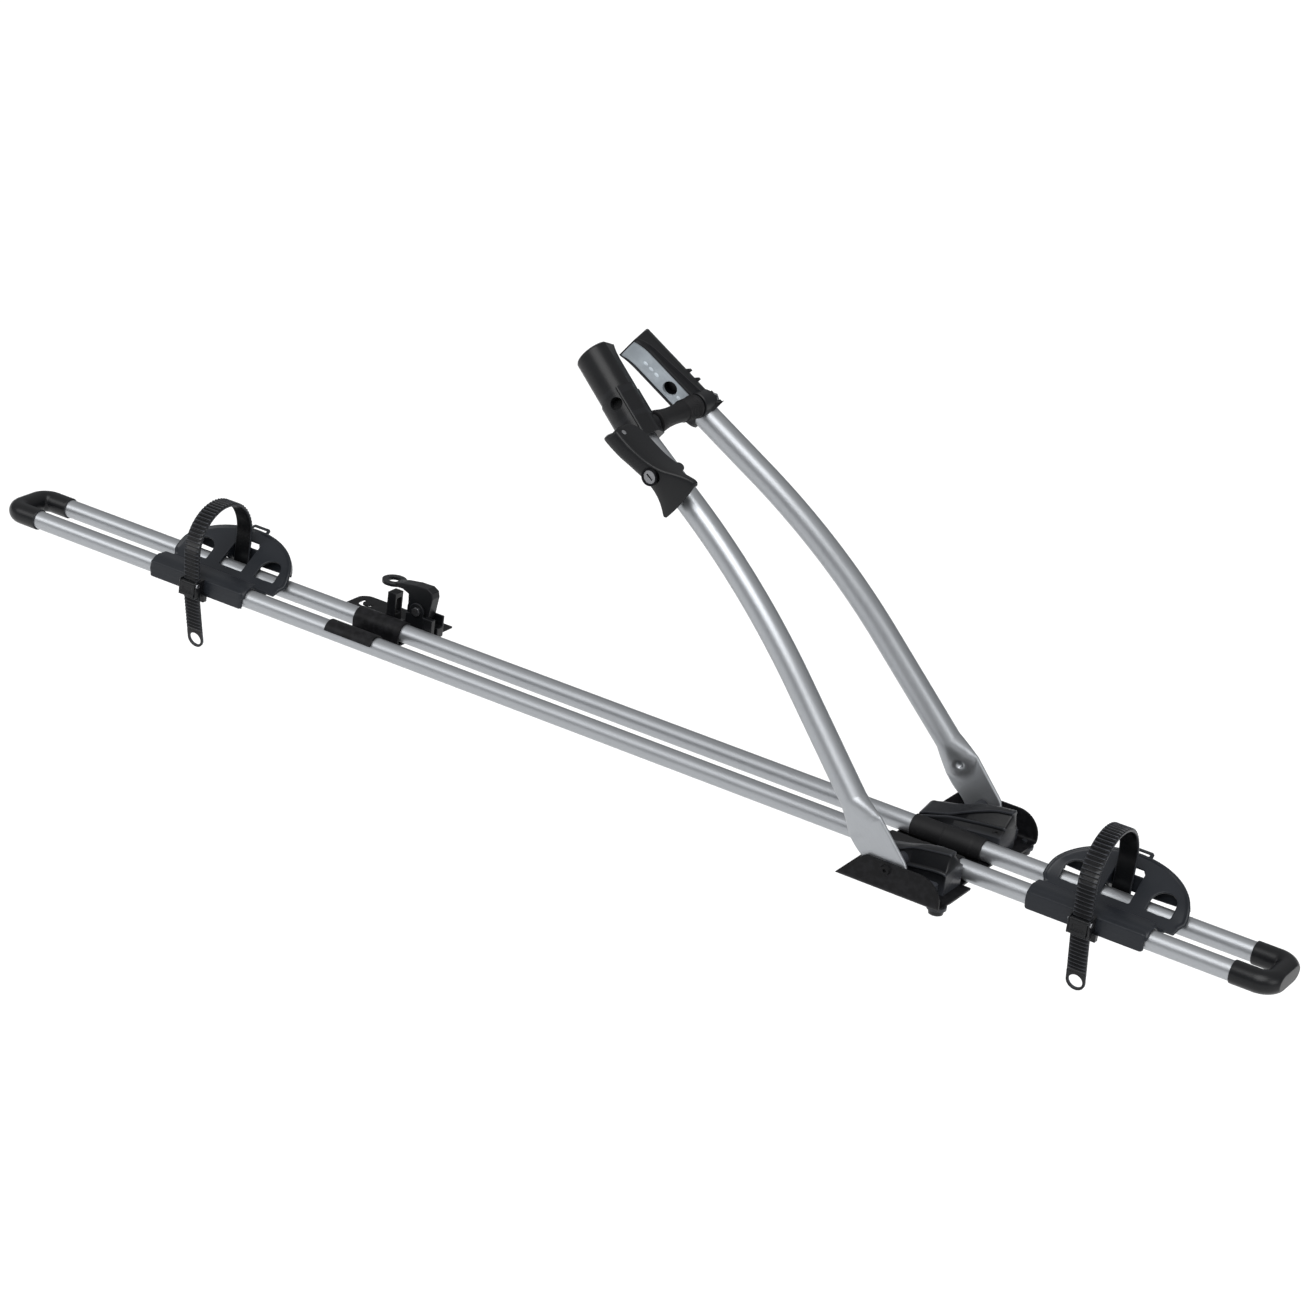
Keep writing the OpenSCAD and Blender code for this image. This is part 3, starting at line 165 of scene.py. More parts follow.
class Finish:
    """One material, or the world, and its node tree."""

    def __init__(self, name, store="materials"):
        self.material = getattr(bpy.data, store).new(name)
        self.material.use_nodes = True
        self.tree = self.material.node_tree
        self.tree.nodes.clear()

    def node(self, kind, settings=None, inputs=None, output=0):
        """Add a node: its settings first, then the values or links of its sockets."""
        made = self.tree.nodes.new(kind)
        for key, value in (settings or {}).items():
            if key == "stops":
                ramp = made.color_ramp.elements
                while len(ramp) < len(value):
                    ramp.new(0.5)
                for stop, (place, level) in zip(ramp, value):
                    stop.position = place
                    stop.color = tint(level if isinstance(level, tuple) else (level, level, level))
            else:
                setattr(made, key, value)
        for key, value in (inputs or {}).items():
            if isinstance(value, Socket):
                self.tree.links.new(value.socket, made.inputs[key])
            else:
                made.inputs[key].default_value = value
        return Socket(self, made.outputs[output]) if made.outputs else None

    def place(self, stretch=(1, 1, 1), turn=0.0):
        """Coordinates of the piece in metres, turned about Y and stretched."""
        at = self.node("ShaderNodeTexCoord", output="Object")
        if turn:
            at = self.node("ShaderNodeVectorRotate", {"rotation_type": "Y_AXIS"},
                           {"Vector": at, "Angle": turn})
        return self.node("ShaderNodeVectorMath", {"operation": "MULTIPLY"}, {0: at, 1: stretch})

    def noise(self, at, scale, detail=3.0, rough=0.55):
        return self.node("ShaderNodeTexNoise", None,
                         {"Vector": at, "Scale": scale, "Detail": detail, "Roughness": rough})

    def ramp(self, value, *stops):
        return self.node("ShaderNodeValToRGB", {"stops": stops}, {"Fac": value})

    def mix(self, factor, a, b):
        return self.node("ShaderNodeMix", {"data_type": "RGBA"},
                         {0: factor, 6: tint(a), 7: tint(b)}, output=2)

    def edges(self, low, high):
        """Mask of the convex edges."""
        bend = self.node("ShaderNodeNewGeometry", output="Pointiness")
        return self.ramp(bend, (low, 0.0), (high, 1.0))

    def bump(self, height, strength, depth, round_edges=0.0):
        inputs = {"Height": height, "Strength": strength, "Distance": depth}
        if round_edges:
            inputs["Normal"] = self.node("ShaderNodeBevel", {"samples": 4}, {"Radius": round_edges})
        return self.node("ShaderNodeBump", None, inputs)

    def surface(self, colour, rough, normal, **fixed):
        """Close the material with a Principled shader; fixed holds values that are the same all over."""
        inputs = {"Base Color": colour, "Roughness": rough, "Normal": normal}
        inputs.update({key.replace("_", " "): value for key, value in fixed.items()})
        shader = self.node("ShaderNodeBsdfPrincipled", None, inputs)
        self.node("ShaderNodeOutputMaterial", None, {"Surface": shader})
        return self.material


def tint(colour):
    """A colour socket's value from a colour, or the link itself."""
    return colour if isinstance(colour, Socket) else (*tuple(colour)[:3], 1.0)


def shade(colour, factor):
    return tuple(min(1.0, channel * factor) for channel in tuple(colour)[:3])


def satin_tube(name, colour, turn):
    """Anodised tube: fine drawing lines along its length, cloudy sheen."""
    f = Finish(name)
    lines = f.noise(f.place((6, 900, 900), turn), 1.0, 3.0, 0.6)
    cloud = f.noise(f.place(), 26.0, 3.0)
    grit = f.noise(f.place(), 1900.0, 2.0)
    colour_map = f.mix(0.65 * lines + 0.35 * cloud, shade(colour, 0.9), shade(colour, 1.08))
    rough = 0.33 + 0.08 * lines + 0.05 * cloud
    normal = f.bump(0.6 * lines + 0.4 * grit, 0.10, 0.00008, 0.0005)
    return f.surface(colour_map, rough, normal, Metallic=0.88, Specular_IOR_Level=0.5)


def moulded(name, colour, rough, grain, edge=0.5, highlight_gain=2.2):
    """Moulded plastic: eroded grain, faint flow clouds, convex edges painted lighter as highlights."""
    f = Finish(name)
    cloud = f.noise(f.place(), 34.0, 4.0, 0.6)
    pebble = f.noise(f.place(), grain, 3.0, 0.6)
    # painted highlight: convex edges mixed towards a lighter copy of the colour
    edge_wear_and_highlight = f.edges(0.515, 0.60) * edge
    colour_map = f.mix(cloud, shade(colour, 0.82), shade(colour, 1.22))
    colour_map = f.mix(edge_wear_and_highlight, colour_map, shade(colour, highlight_gain))
    rough_map = rough - 0.06 + 0.10 * cloud + 0.08 * pebble
    normal = f.bump(pebble, 0.16, 0.00018)
    return f.surface(colour_map, rough_map, normal, Specular_IOR_Level=0.22)


def powder_coat(name, colour):
    """Black powder coat on pressed steel: fine orange peel, edges rubbed a little grey."""
    f = Finish(name)
    peel = f.noise(f.place(), 900.0, 2.0, 0.5)
    cloud = f.noise(f.place(), 18.0, 2.0)
    edge_wear_and_highlight = f.edges(0.53, 0.66) * f.ramp(f.noise(f.place(), 160.0, 4.0), (0.42, 0.0), (0.62, 0.5))
    colour_map = f.mix(cloud, shade(colour, 0.9), shade(colour, 1.1))
    colour_map = f.mix(edge_wear_and_highlight, colour_map, shade(colour, 5.0))
    normal = f.bump(peel, 0.10, 0.00015, 0.0006)
    return f.surface(colour_map, 0.42 + 0.06 * peel + 0.03 * cloud, normal, Specular_IOR_Level=0.12)


def rubber(name, colour, scale, rough):
    """Dull rubber: fine pores and dusty clouds."""
    f = Finish(name)
    pores = f.noise(f.place(), scale, 3.0, 0.65)
    dust = f.ramp(f.noise(f.place(), 60.0, 5.0, 0.6), (0.42, 0.0), (0.75, 1.0))
    colour_map = f.mix(0.8 * dust, shade(colour, 0.92), shade(colour, 1.3))
    normal = f.bump(pores, 0.22, 0.00025)
    return f.surface(colour_map, rough + 0.10 * dust + 0.05 * pores, normal, Specular_IOR_Level=0.22)


def bare_steel(name, colour):
    """Turned bare steel: rings of the tool, small dark specks."""
    f = Finish(name)
    rings = f.noise(f.place((400, 2200, 400)), 1.0, 2.0)
    specks = f.ramp(f.noise(f.place(), 900.0, 3.0), (0.30, 1.0), (0.36, 0.0))
    colour_map = f.mix(0.6 * specks, colour, shade(colour, 0.35))
    normal = f.bump(rings, 0.12, 0.0001, 0.0004)
    return f.surface(colour_map, 0.24 + 0.14 * rings, normal, Metallic=1.0)


def finishes():
    """Materials by the record's slot, made once."""
    if finishes.made:
        return finishes.made
    c = bpy.context.scene.carrier_finishes
    finishes.made.update({
        "tube": satin_tube("rail aluminium", c.tube, 0.0),
        "arm_tube": satin_tube("arm aluminium", c.tube, math.radians(-41)),
        "black_steel": powder_coat("black powder coat", c.steel),
        # the last two numbers of a moulded finish are the share and strength of its painted edge highlight
        "black_plastic": moulded("black plastic", c.plastic, 0.31, 1500.0, 0.8, 9.0),
        "claw_plastic": moulded("claw plastic", shade(c.plastic, 1.08), 0.34, 1700.0),
        "slate_plastic": moulded("slate plastic", c.slate, 0.34, 1300.0, 0.5, 2.8),
        "black_rubber": rubber("black rubber", c.rubber, 1500.0, 0.55),
        "grey_rubber": rubber("pad rubber", c.pad, 900.0, 0.62),
        # painted highlight: the strap's rib crests are painted much lighter
        "strap": moulded("strap plastic", shade(c.plastic, 0.75), 0.26, 1800.0, 1.0, 16.0),
        "bright_steel": bare_steel("bright steel", c.bright),
        "lock_rim": bare_steel("blackened steel", shade(c.steel, 3.0)),
        "lock_plug": bare_steel("dull steel", shade(c.bright, 0.6)),
        # painted highlight: a lighter copy of the pad rubber for the pale ovals on the pads
        "pad_highlight": rubber("pad painted highlight", shade(c.pad, 1.65), 900.0, 0.5),
    })
    return finishes.made


finishes.made = {}


def add_piece(name, mesh, node, replaced=True):
    """Link a mesh as a piece that rides with the node's body and takes its slot's finish."""
    piece = linked(name, mesh)
    mesh.materials.clear()
    mesh.materials.append(finishes()[SLOT_OF[node]])
    for face in mesh.polygons:
        face.use_smooth = True
    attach(piece, BODY_OF[node])
    if replaced:
        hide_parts(node)
    return piece


def joined(name, meshes, weld=0.0, outward=False):
    """One mesh of several, with points closer than weld made one."""
    build = bmesh.new()
    for mesh in meshes:
        build.from_mesh(mesh)
    if weld:
        bmesh.ops.remove_doubles(build, verts=build.verts, dist=weld)
    if outward:
        bmesh.ops.recalc_face_normals(build, faces=build.faces)
    whole = bpy.data.meshes.new(name)
    build.to_mesh(whole)
    build.free()
    return whole


def evaluated(work):
    """Mesh of an object with its modifiers applied; the object goes."""
    mesh = bpy.data.meshes.new_from_object(work.evaluated_get(bpy.context.evaluated_depsgraph_get()))
    bpy.data.objects.remove(work)
    return mesh


def linked(name, mesh):
    """New object in the scene."""
    thing = bpy.data.objects.new(name, mesh)
    bpy.context.scene.collection.objects.link(thing)
    return thing


def rounded_mesh(node, voxel, passes, keep, shape=None, more=()):
    """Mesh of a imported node, with more closed shapes let into it, and the rounded edges of a moulding."""
    work = linked("work", joined("work", [frame["nodes"][node].data, *more]))
    voxels = work.modifiers.new("voxels", "REMESH")
    voxels.mode = "VOXEL"
    voxels.voxel_size = voxel * MM
    smooth = work.modifiers.new("round", "SMOOTH")
    smooth.factor = 0.5
    smooth.iterations = passes
    thin = work.modifiers.new("thin", "DECIMATE")
    thin.ratio = keep
    done = evaluated(work)
    if shape:
        for vertex in done.vertices:
            vertex.co = shape(vertex.co)
    return done


def mesh_from(name, rings, caps=True):
    """Mesh through closed rings of points, given in millimetres, each ring with as many points."""
    build = bmesh.new()
    rows = [[build.verts.new(point * MM) for point in ring] for ring in rings]
    count = len(rows[0])
    for low, high in zip(rows, rows[1:]):
        for i in range(count):
            j = (i + 1) % count
            build.faces.new((low[i], low[j], high[j], high[i]))
    if caps:
        build.faces.new(list(reversed(rows[0])))
        build.faces.new(rows[-1])
    bmesh.ops.recalc_face_normals(build, faces=build.faces)
    mesh = bpy.data.meshes.new(name)
    build.to_mesh(mesh)
    build.free()
    return mesh


def cut_from(mesh, tool_mesh):
    """Mesh less a closed tool."""
    work = linked("work", mesh)
    tool = linked("tool", tool_mesh)
    cut = work.modifiers.new("cut", "BOOLEAN")
    cut.operation = "DIFFERENCE"
    cut.object = tool
    cut.solver = "EXACT"
    cut.use_self = True
    done = evaluated(work)
    bpy.data.objects.remove(tool)
    return done


def around(count):
    """Angles of a full turn in even steps."""
    return [2 * math.pi * k / count for k in range(count)]


def drilled(mesh, centre, axis, radius, reach):
    """Mesh with a round hole cut along an axis, from centre for reach, in millimetres."""
    side = axis.orthogonal().normalized()
    up = axis.cross(side).normalized()
    rings = [[centre + axis * d + radius * (side * math.cos(a) + up * math.sin(a))
              for a in around(40)] for d in (0.0, reach)]
    return cut_from(mesh, mesh_from("tool", rings))


def blend_step(t):
    """Smooth rise from 0 to 1 as t does."""
    t = min(1.0, max(0.0, t))
    return t * t * (3 - 2 * t)


def curve_through(points):
    """Smooth function of x through points (x, value), flat beyond its ends."""
    xs, ys = zip(*points)
    slopes = []
    for i in range(len(xs)):
        low, high = max(0, i - 1), min(len(xs) - 1, i + 1)
        slopes.append((ys[high] - ys[low]) / (xs[high] - xs[low]))
    for i in range(1, len(xs) - 1):
        if (ys[i] - ys[i - 1]) * (ys[i + 1] - ys[i]) <= 0:
            slopes[i] = 0.0

    def value(x):
        if x <= xs[0]:
            return ys[0]
        if x >= xs[-1]:
            return ys[-1]
        i = max(k for k in range(len(xs) - 1) if xs[k] <= x)
        h = xs[i + 1] - xs[i]
        t = (x - xs[i]) / h
        a, b = ys[i], ys[i + 1]
        return ((1 + 2 * t) * (1 - t) ** 2 * a + t * (1 - t) ** 2 * h * slopes[i]
                + t * t * (3 - 2 * t) * b + t * t * (t - 1) * h * slopes[i + 1])

    return value


LOCK_FINISH = {"lock_housing": "lock_rim", "lock_cylinder": "lock_plug"}


class CARRIER_OT_finishes(bpy.types.Operator):
    """Give every carried-over solid the finish of its slot"""

    bl_idname = "carrier.finishes"
    bl_label = "Finishes of the solids"

    def execute(self, context):
        for node, thing in frame["nodes"].items():
            thing.data.materials.clear()
            thing.data.materials.append(finishes()[LOCK_FINISH.get(node, SLOT_OF[node])])
        return {"FINISHED"}


# voxel in millimetres, smoothing passes and share of faces kept, of the moulded nodes
BOTH_ENDS = {"end_cap": (0.7, 6, 0.35), "wheel_tray": (0.65, 5, 0.35), "strap_buckle": (0.35, 5, 0.3),
             "buckle_lever": (0.3, 5, 0.3)}
MOULDINGS = {f"{node}_{end}": how for node, how in BOTH_ENDS.items() for end in TRAYS}
MOULDINGS.update(rear_yoke=(0.45, 5, 0.3), rear_lever=(0.45, 8, 0.3), rear_hook=(0.4, 5, 0.3),
                 rail_sleeve_right=(0.45, 6, 0.3), rail_sleeve_left=(0.45, 6, 0.3))


def bar(points, radius, sides=10):
    """Round bar through points in millimetres."""
    points = [Vector(point) for point in points]
    rings = []
    for i, point in enumerate(points):
        along = (points[min(i + 1, len(points) - 1)] - points[max(i - 1, 0)]).normalized()
        side = along.orthogonal() if i == 0 else side - along * side.dot(along)
        side.normalize()
        up = along.cross(side)
        rings.append([point + radius * (side * math.cos(a) + up * math.sin(a)) for a in around(sides)])
    return mesh_from("bar", rings)


def plate(outline, thick):
    """Flat plate of a closed outline, thickened by a vector, in millimetres."""
    face = [Vector(point) for point in outline]
    return mesh_from("plate", [face, [point + Vector(thick) for point in face]])


def block_edges(x):
    """Inner lip, ridge, top, outer ridge and outer lip of a clamp block at x, in millimetres."""
    lip_y = [(-44, 37.8), (-33, 38.9), (-20, 41.0), (-10, 42.7), (13, 44.7), (34, 46.1), (47, 47.0)]
    lip_z = [(-44, 16.0), (-33, 18.6), (-20, 21.8), (-10, 24.2), (13, 27.1), (34, 29.2), (47, 30.0)]
    ridge_y = [(-44, 39.6), (-20, 42.8), (-10, 44.3), (0, 47.4), (15, 51.1), (30, 54.6), (47, 57.5)]
    ridge_z = [(-44, 19.0), (-20, 24.4), (-10, 26.9), (0, 30.8), (15, 36.5), (30, 41.0), (47, 43.0)]
    top = [(-46, 20.0), (-40, 25.0), (-31, 26.8), (-20, 28.4), (-8, 31.8), (4, 36.0), (20, 41.2),
           (35, 43.4), (47, 44.0)]
    outer = [(-46, 18.0), (-33, 24.0), (-20, 26.8), (-7, 30.4), (9, 37.0), (28, 40.3), (47, 42.8)]
    low = [(-46, 12.0), (-20, 15.0), (6, 20.2), (22, 22.5), (40, 24.2), (47, 23.6)]
    return [curve_through(line)(x) for line in (lip_y, lip_z, ridge_y, ridge_z, top, outer, low)]


def block_mesh(side):
    """Clamp block with raised lips on its sloped inner face and its outer face, and the pivot's boss."""
    flip = 1 if side == "left" else -1
    middle, floor, boss_r, reach = 54.0, 2.4, 6.6, 91.1
    grow = curve_through([(-42.3, 0.76), (-41.8, 0.85), (-40.6, 0.93), (-38.5, 0.98), (-36.0, 1.0),
                          (46.0, 1.0), (46.9, 0.985), (47.3, 0.965)])
    stations = [-42.3, -42.1, -41.8, -41.3, -40.6, -39.6] + [-38.5 + 1.1 * k for k in range(77)]
    rings = []
    for x in stations + [46.4, 46.9, 47.3]:
        lip_y, lip_z, ridge_y, ridge_z, top, outer, low = block_edges(x)
        ring = [(36.9, floor), (37.0, lip_z - 7.0), (lip_y - 2.0, lip_z - 2.0),
                (lip_y - 2.2, lip_z - 0.2), (lip_y - 1.2, lip_z + 1.3), (lip_y + 0.8, lip_z + 0.9),
                (ridge_y + 0.8, ridge_z - 2.3), (ridge_y - 0.9, ridge_z - 1.2),
                (ridge_y - 0.7, ridge_z + 0.3), (ridge_y + 0.9, ridge_z + 0.8),
                (60.0, top), (64.8, outer + 0.6), (66.1, outer + 0.2), (66.6, outer - 0.9),
                (65.6, outer - 2.0), (70.0, low + 2.3), (71.8, low + 1.6), (72.7, low + 0.7),
                (72.8, low - 0.5), (71.2, low - 1.6), (71.2, floor)]
        share = grow(x)
        rings.append([Vector((x, flip * (middle + (y - middle) * share), floor + (z - floor) * share))
                      for y, z in ring])
    boss = [[Vector((r * math.cos(a), flip * y, FOOT["z"] + r * math.sin(a))) for a in around(48)]
            for r, y in ((boss_r, 64.0), (boss_r, reach - 0.6), (boss_r - 0.6, reach))]
    shelf = [(-43, floor), (41, floor), (41, 12.0), (39, 13.5), (-30, 11.0), (-43, 8.0)]
    return joined("clamp_block_" + side, [
        mesh_from("block", rings), mesh_from("boss", boss),
        plate([(x, flip * 70.0, z) for x, z in shelf], (0, flip * 20.8, 0))])


class CARRIER_OT_blocks(bpy.types.Operator):
    """Loft the clamp blocks"""

    bl_idname = "carrier.blocks"
    bl_label = "Clamp blocks"

    def execute(self, context):
        for side in ("right", "left"):
            mesh = block_mesh(side)
            add_piece("clamp_block_shell_" + side, mesh, "clamp_block_" + side)
            mesh.set_sharp_from_angle(angle=math.radians(48))
        return {"FINISHED"}


def cheek_point(x, v, lift=0.0):
    """Point on a tray's sloped cheek, v up its slope and lift out of its face, in millimetres."""
    rise, run = math.sin(CHEEK_SLOPE), math.cos(CHEEK_SLOPE)
    return Vector((x, CHEEK_Y + v * run - lift * rise, CHEEK_Z + v * rise + lift * run))


def tray_extras(which):
    """Rolled rim and loop of a tray's cheek, skirt under it and shoulder of its sleeve."""
    start = TRAYS[which][0] - 60.0
    middle = TRAYS[which][0] + CHEEK_PAST
    rim_in, rim_r, loop_r, skirt_thick = 1.6, 2.0, 1.35, 2.2
    half, high = CHEEK_HALF - rim_in, CHEEK_HIGH - rim_in
    arc = [math.radians(180 * k / 44) for k in range(45)]
    rim = [cheek_point(middle + half - inset, v, rim_in) for v, inset in ((-6.5, 4.2), (-3.0, 2.2))]
    rim += [cheek_point(middle + half * math.cos(a), high * math.sin(a), rim_in) for a in arc]
    rim += [cheek_point(middle - half + inset, v, rim_in) for v, inset in ((-3.0, 2.2), (-6.5, 4.2))]
    skirt = [(-69, 17.5), (56, 17.5), (56, 32.0), (50, 34.5), (-52, 34.5), (-69, 23.0)]
    shoulder = [(-36.0, 3.0), (-37.5, 3.0), (-37.8, 3.6), (-37.8, 19.6), (-37.3, 20.6), (-25.0, 25.0),
                (-13.0, 24.6)]
    seat = [(-13.0, 23.0)] + [(-25 + 11.2 * math.cos(a), RAIL_Z + 11.2 * math.sin(a))
                              for a in (math.radians(90 + 11.25 * k) for k in range(9))]
    sleeve = []
    for x, inset in ((-0.4, 2.4), (0.3, 1.1), (1.4, 0.3), (2.8, 0.0), (117.8, 0.0), (119.2, 0.3),
                     (120.3, 1.1), (121.0, 2.4)):
        drawn_in = [(y + inset * (y < -30.0), z + (inset if z < 10.0 else -0.5 * inset))
                    for y, z in shoulder]
        sleeve.append([Vector((start + x, y, z)) for y, z in drawn_in + seat])
    loop = [(-9.5, 51), (-9.5, 58.6), (-8.5, 59.6), (10.2, 59.6), (11.2, 58.6), (11.2, 51)]
    return [bar(rim, rim_r), bar([cheek_point(middle + x, v, 1.2) for x, v in loop], loop_r),
            plate([(middle + x, 41, z) for x, z in skirt], (0, skirt_thick, 0)),
            mesh_from("shoulder", sleeve)]


def cradle(which):
    """Bend of a tray's cheek: its ends lift out of its face."""
    middle, lift = TRAYS[which][0] + CHEEK_PAST, 4.2
    rise, run = math.sin(CHEEK_SLOPE), math.cos(CHEEK_SLOPE)

    def bend(co):
        x, y, z = co / MM
        v = (y - CHEEK_Y) * run + (z - CHEEK_Z) * rise
        bow = lift * ((x - middle) / CHEEK_HALF) ** 2 * blend_step((v + 2) / 22)
        return co + Vector((0, -rise, run)) * bow * MM

    return bend


def raised(node, more):
    """Stretch that draws the top of a node up by more millimetres."""
    top = max(vertex.co.z for vertex in frame["nodes"][node].data.vertices)

    def stretch(co):
        return co + Vector((0, 0, more * MM * blend_step((co.z - top + 10 * MM) / (8 * MM))))

    return stretch


class CARRIER_OT_mouldings(bpy.types.Operator):
    """Round the edges of the moulded pieces"""

    bl_idname = "carrier.mouldings"
    bl_label = "Moulded pieces"

    def execute(self, context):
        extras = {"wheel_tray_" + which: tray_extras(which) for which in TRAYS}
        bends = {"wheel_tray_" + which: cradle(which) for which in TRAYS}
        bends["rear_hook"] = raised("rear_hook", 3.8)
        for node, (voxel, passes, keep) in MOULDINGS.items():
            mesh = rounded_mesh(node, voxel, passes, keep, bends.get(node), extras.get(node, ()))
            add_piece(node + "_moulding", mesh, node)
        return {"FINISHED"}


def strap_path(lean):
    """Points in Y and Z along the inside of a strap, in millimetres, evenly spaced."""
    far, rise, near, tail = 36.25, 39.0, 41.3, 62.0
    top_far, top_near = far + 1.2, -near - 4.4
    radius = (top_far - top_near) / 2
    middle = (top_far + top_near) / 2
    raw = [Vector((far, -4.0)), Vector((far + 0.6, 17.0))]
    raw += [Vector((middle + radius * math.cos(a), rise + radius * math.sin(a)))
            for a in (math.pi * i / 48 for i in range(49))]
    raw += [Vector((top_near + 2.2, 14.5)), Vector((-near, -10.0))]
    raw += [Vector((-near + lean * k, -10.0 - tail * k)) for k in (0.25, 0.5, 0.75, 1.0)]
    lengths = [0.0]
    for a, b in zip(raw, raw[1:]):
        lengths.append(lengths[-1] + (b - a).length)
    step, points, i = 0.3, [], 0
    for k in range(int(lengths[-1] / step) + 1):
        s = k * step
        while i < len(raw) - 2 and lengths[i + 1] < s:
            i += 1
        t = (s - lengths[i]) / (lengths[i + 1] - lengths[i])
        points.append(raw[i].lerp(raw[i + 1], t))
    for _ in range(66):
        inner = [(a + 2 * b + c) / 4 for a, b, c in zip(points, points[1:], points[2:])]
        points = [points[0], *inner, points[-1]]
    return points, step


def strap_mesh(which):
    """Ladder strap with ribs across its outer face and a holed tail."""
    size = bpy.context.scene.carrier_strap
    half, thick, rib, pitch = (v / MM for v in (size.width / 2, size.thick, size.rib, size.pitch))
    x, lean = TRAYS[which]
    x += STRAP_SHIFT
    points, step = strap_path(lean)
    length = step * (len(points) - 1)
    outside = [-1.0, -0.98, -0.95, -0.9, -0.5, 0.0, 0.5, 0.9, 0.95, 0.98, 1.0]
    inside = [(1.0, 0.5), (0.94, 0.0), (0.84, 0.0), (0.0, 0.0), (-0.84, 0.0), (-0.94, 0.0), (-1.0, 0.5)]
    rings = []
    for i, point in enumerate(points):
        s = i * step
        if s > length - 2 * half + 1:
            break
        ahead = points[min(i + 1, len(points) - 1)] - points[max(i - 1, 0)]
        out = Vector((ahead.y, -ahead.x)).normalized()
        phase = (s % pitch) / pitch
        wave = min(1.0, phase / 0.66) * (1 - blend_step((phase - 0.70) / 0.14))
        wave *= blend_step((s - 10) / 3) * (1 - blend_step((s - length + 24) / 3))
        section = []
        for w in outside:
            rim = 1 - blend_step((abs(w) - 0.92) / 0.06)
            edge = 0.55 if abs(w) == 1.0 else 0.0
            section.append((w, thick - edge + rib * wave * rim))
        rings.append([Vector((x + w * half, point.x + out.x * lift, RAIL_Z + point.y + out.y * lift))
                      for w, lift in section + inside])
    end, before = points[-1], points[-30]
    down = (end - before).normalized()
    out = Vector((down.y, -down.x))
    middle = end - down * half
    hole = half - 2.6
    # share of the way from the hole to the tail's rim, and of the band's thickness
    profile = [(0.0, 0.35), (0.0, 1.0), (0.12, 1.0), (0.45, 1.0), (0.9, 1.0), (1.0, 1.0), (1.0, 0.3),
               (0.9, 0.0), (0.12, 0.0)]
    rows = []
    for a in around(56) + [2 * math.pi]:
        across, along = math.sin(a), math.cos(a)
        reach = half if along > 0 else half / max(abs(across), abs(along))
        row = []
        for radial, high in profile:
            r = hole + (reach - hole) * radial
            flat = middle + down * (r * along) + out * (thick * high)
            row.append(Vector((x + r * across, flat.x, RAIL_Z + flat.y)))
        rows.append(row)
    parts = [mesh_from("band", rings), mesh_from("tail", rows, caps=False)]
    return joined("wheel_strap_" + which, parts, weld=1e-6)


def slant(degrees):
    """Direction in the X and Z plane, rising towards -X."""
    return Vector((-math.cos(math.radians(degrees)), 0.0, math.sin(math.radians(degrees))))


def arm_station(s):
    """Centre, direction and outward side of the left arm at s millimetres past the end of its flat foot."""
    toe = Matrix.Rotation(math.radians(ARM_TOE), 3, "Z")
    pivot = Vector((0.0, FOOT["y"], FOOT["z"]))
    corner = pivot + slant(FOOT["rise"]) * FOOT["length"]
    low, radius = ARM_RUN["low"], ARM_RUN["bend_r"]
    start, end = ARM_RUN["low_rise"], ARM_RUN["top_rise"]
    arc = radius * math.radians(start - end)
    if s < 0:
        return corner + slant(FOOT["rise"]) * s, slant(FOOT["rise"]), Vector((0, 1, 0))
    if s < low:
        flat, along = slant(start) * s, slant(start)
    else:
        turn = start - math.degrees(min(s - low, arc) / radius)
        along = slant(turn)
        side = Vector((along.z, 0, -along.x))
        first = Vector((slant(start).z, 0, -slant(start).x))
        flat = slant(start) * low + radius * (side - first) + along * max(0.0, s - low - arc)
    out = toe @ Vector((0, 1, 0))
    mixed = Vector((0, 1, 0)).lerp(out, blend_step(s / 20)).normalized()
    return corner + toe @ flat, (toe @ along).normalized(), mixed


def arm_section(s, columns):
    """Half thickness of the arm across its width, as pairs of offset and thickness, at s past the foot."""
    flare, press_top, press_end, oval = 27.0, 6.0, -17.0, 7.6
    edge = FOOT["thick"] / 2
    grown = min(1.0, max(0.0, 1 - s / flare))
    front = ARM_R + (FOOT["half"] - ARM_R) * grown
    rear = ARM_R + (FOOT["half"] + FOOT["rear_more"] * blend_step((s + 30) / 20) - ARM_R) * grown
    past = s + FOOT["length"]
    if past < 0:
        front *= math.sqrt(max(0.0004, 1 - (past / FOOT["half"]) ** 2))
        rear *= math.sqrt(max(0.0004, 1 - (past / FOOT["half"]) ** 2))
    high = ARM_R - (ARM_R - oval) * blend_step(grown)
    sink = (high - edge + 0.4) * (1 - blend_step((s - press_end) / (press_top - press_end)))
    pairs = []
    for k in range(columns):
        share = -math.cos(math.pi * k / (columns - 1))
        wide = rear if share > 0 else front
        rest = (abs(share) - 1) * wide + edge
        plate = edge if rest <= 0 else math.sqrt(max(0.0, edge * edge - rest * rest))
        tube = high * math.sqrt(max(0.0, 1 - share * share)) - sink
        if s > press_top:
            pairs.append((share * wide, max(0.0, tube)))
            continue
        soft = 1.2 * (1 - min(1.0, abs(share)) ** 4) + 1e-6
        gap = max(0.0, soft - abs(plate - tube)) / soft
        pairs.append((share * wide, max(plate, tube) + gap * gap * soft / 4))
    return pairs


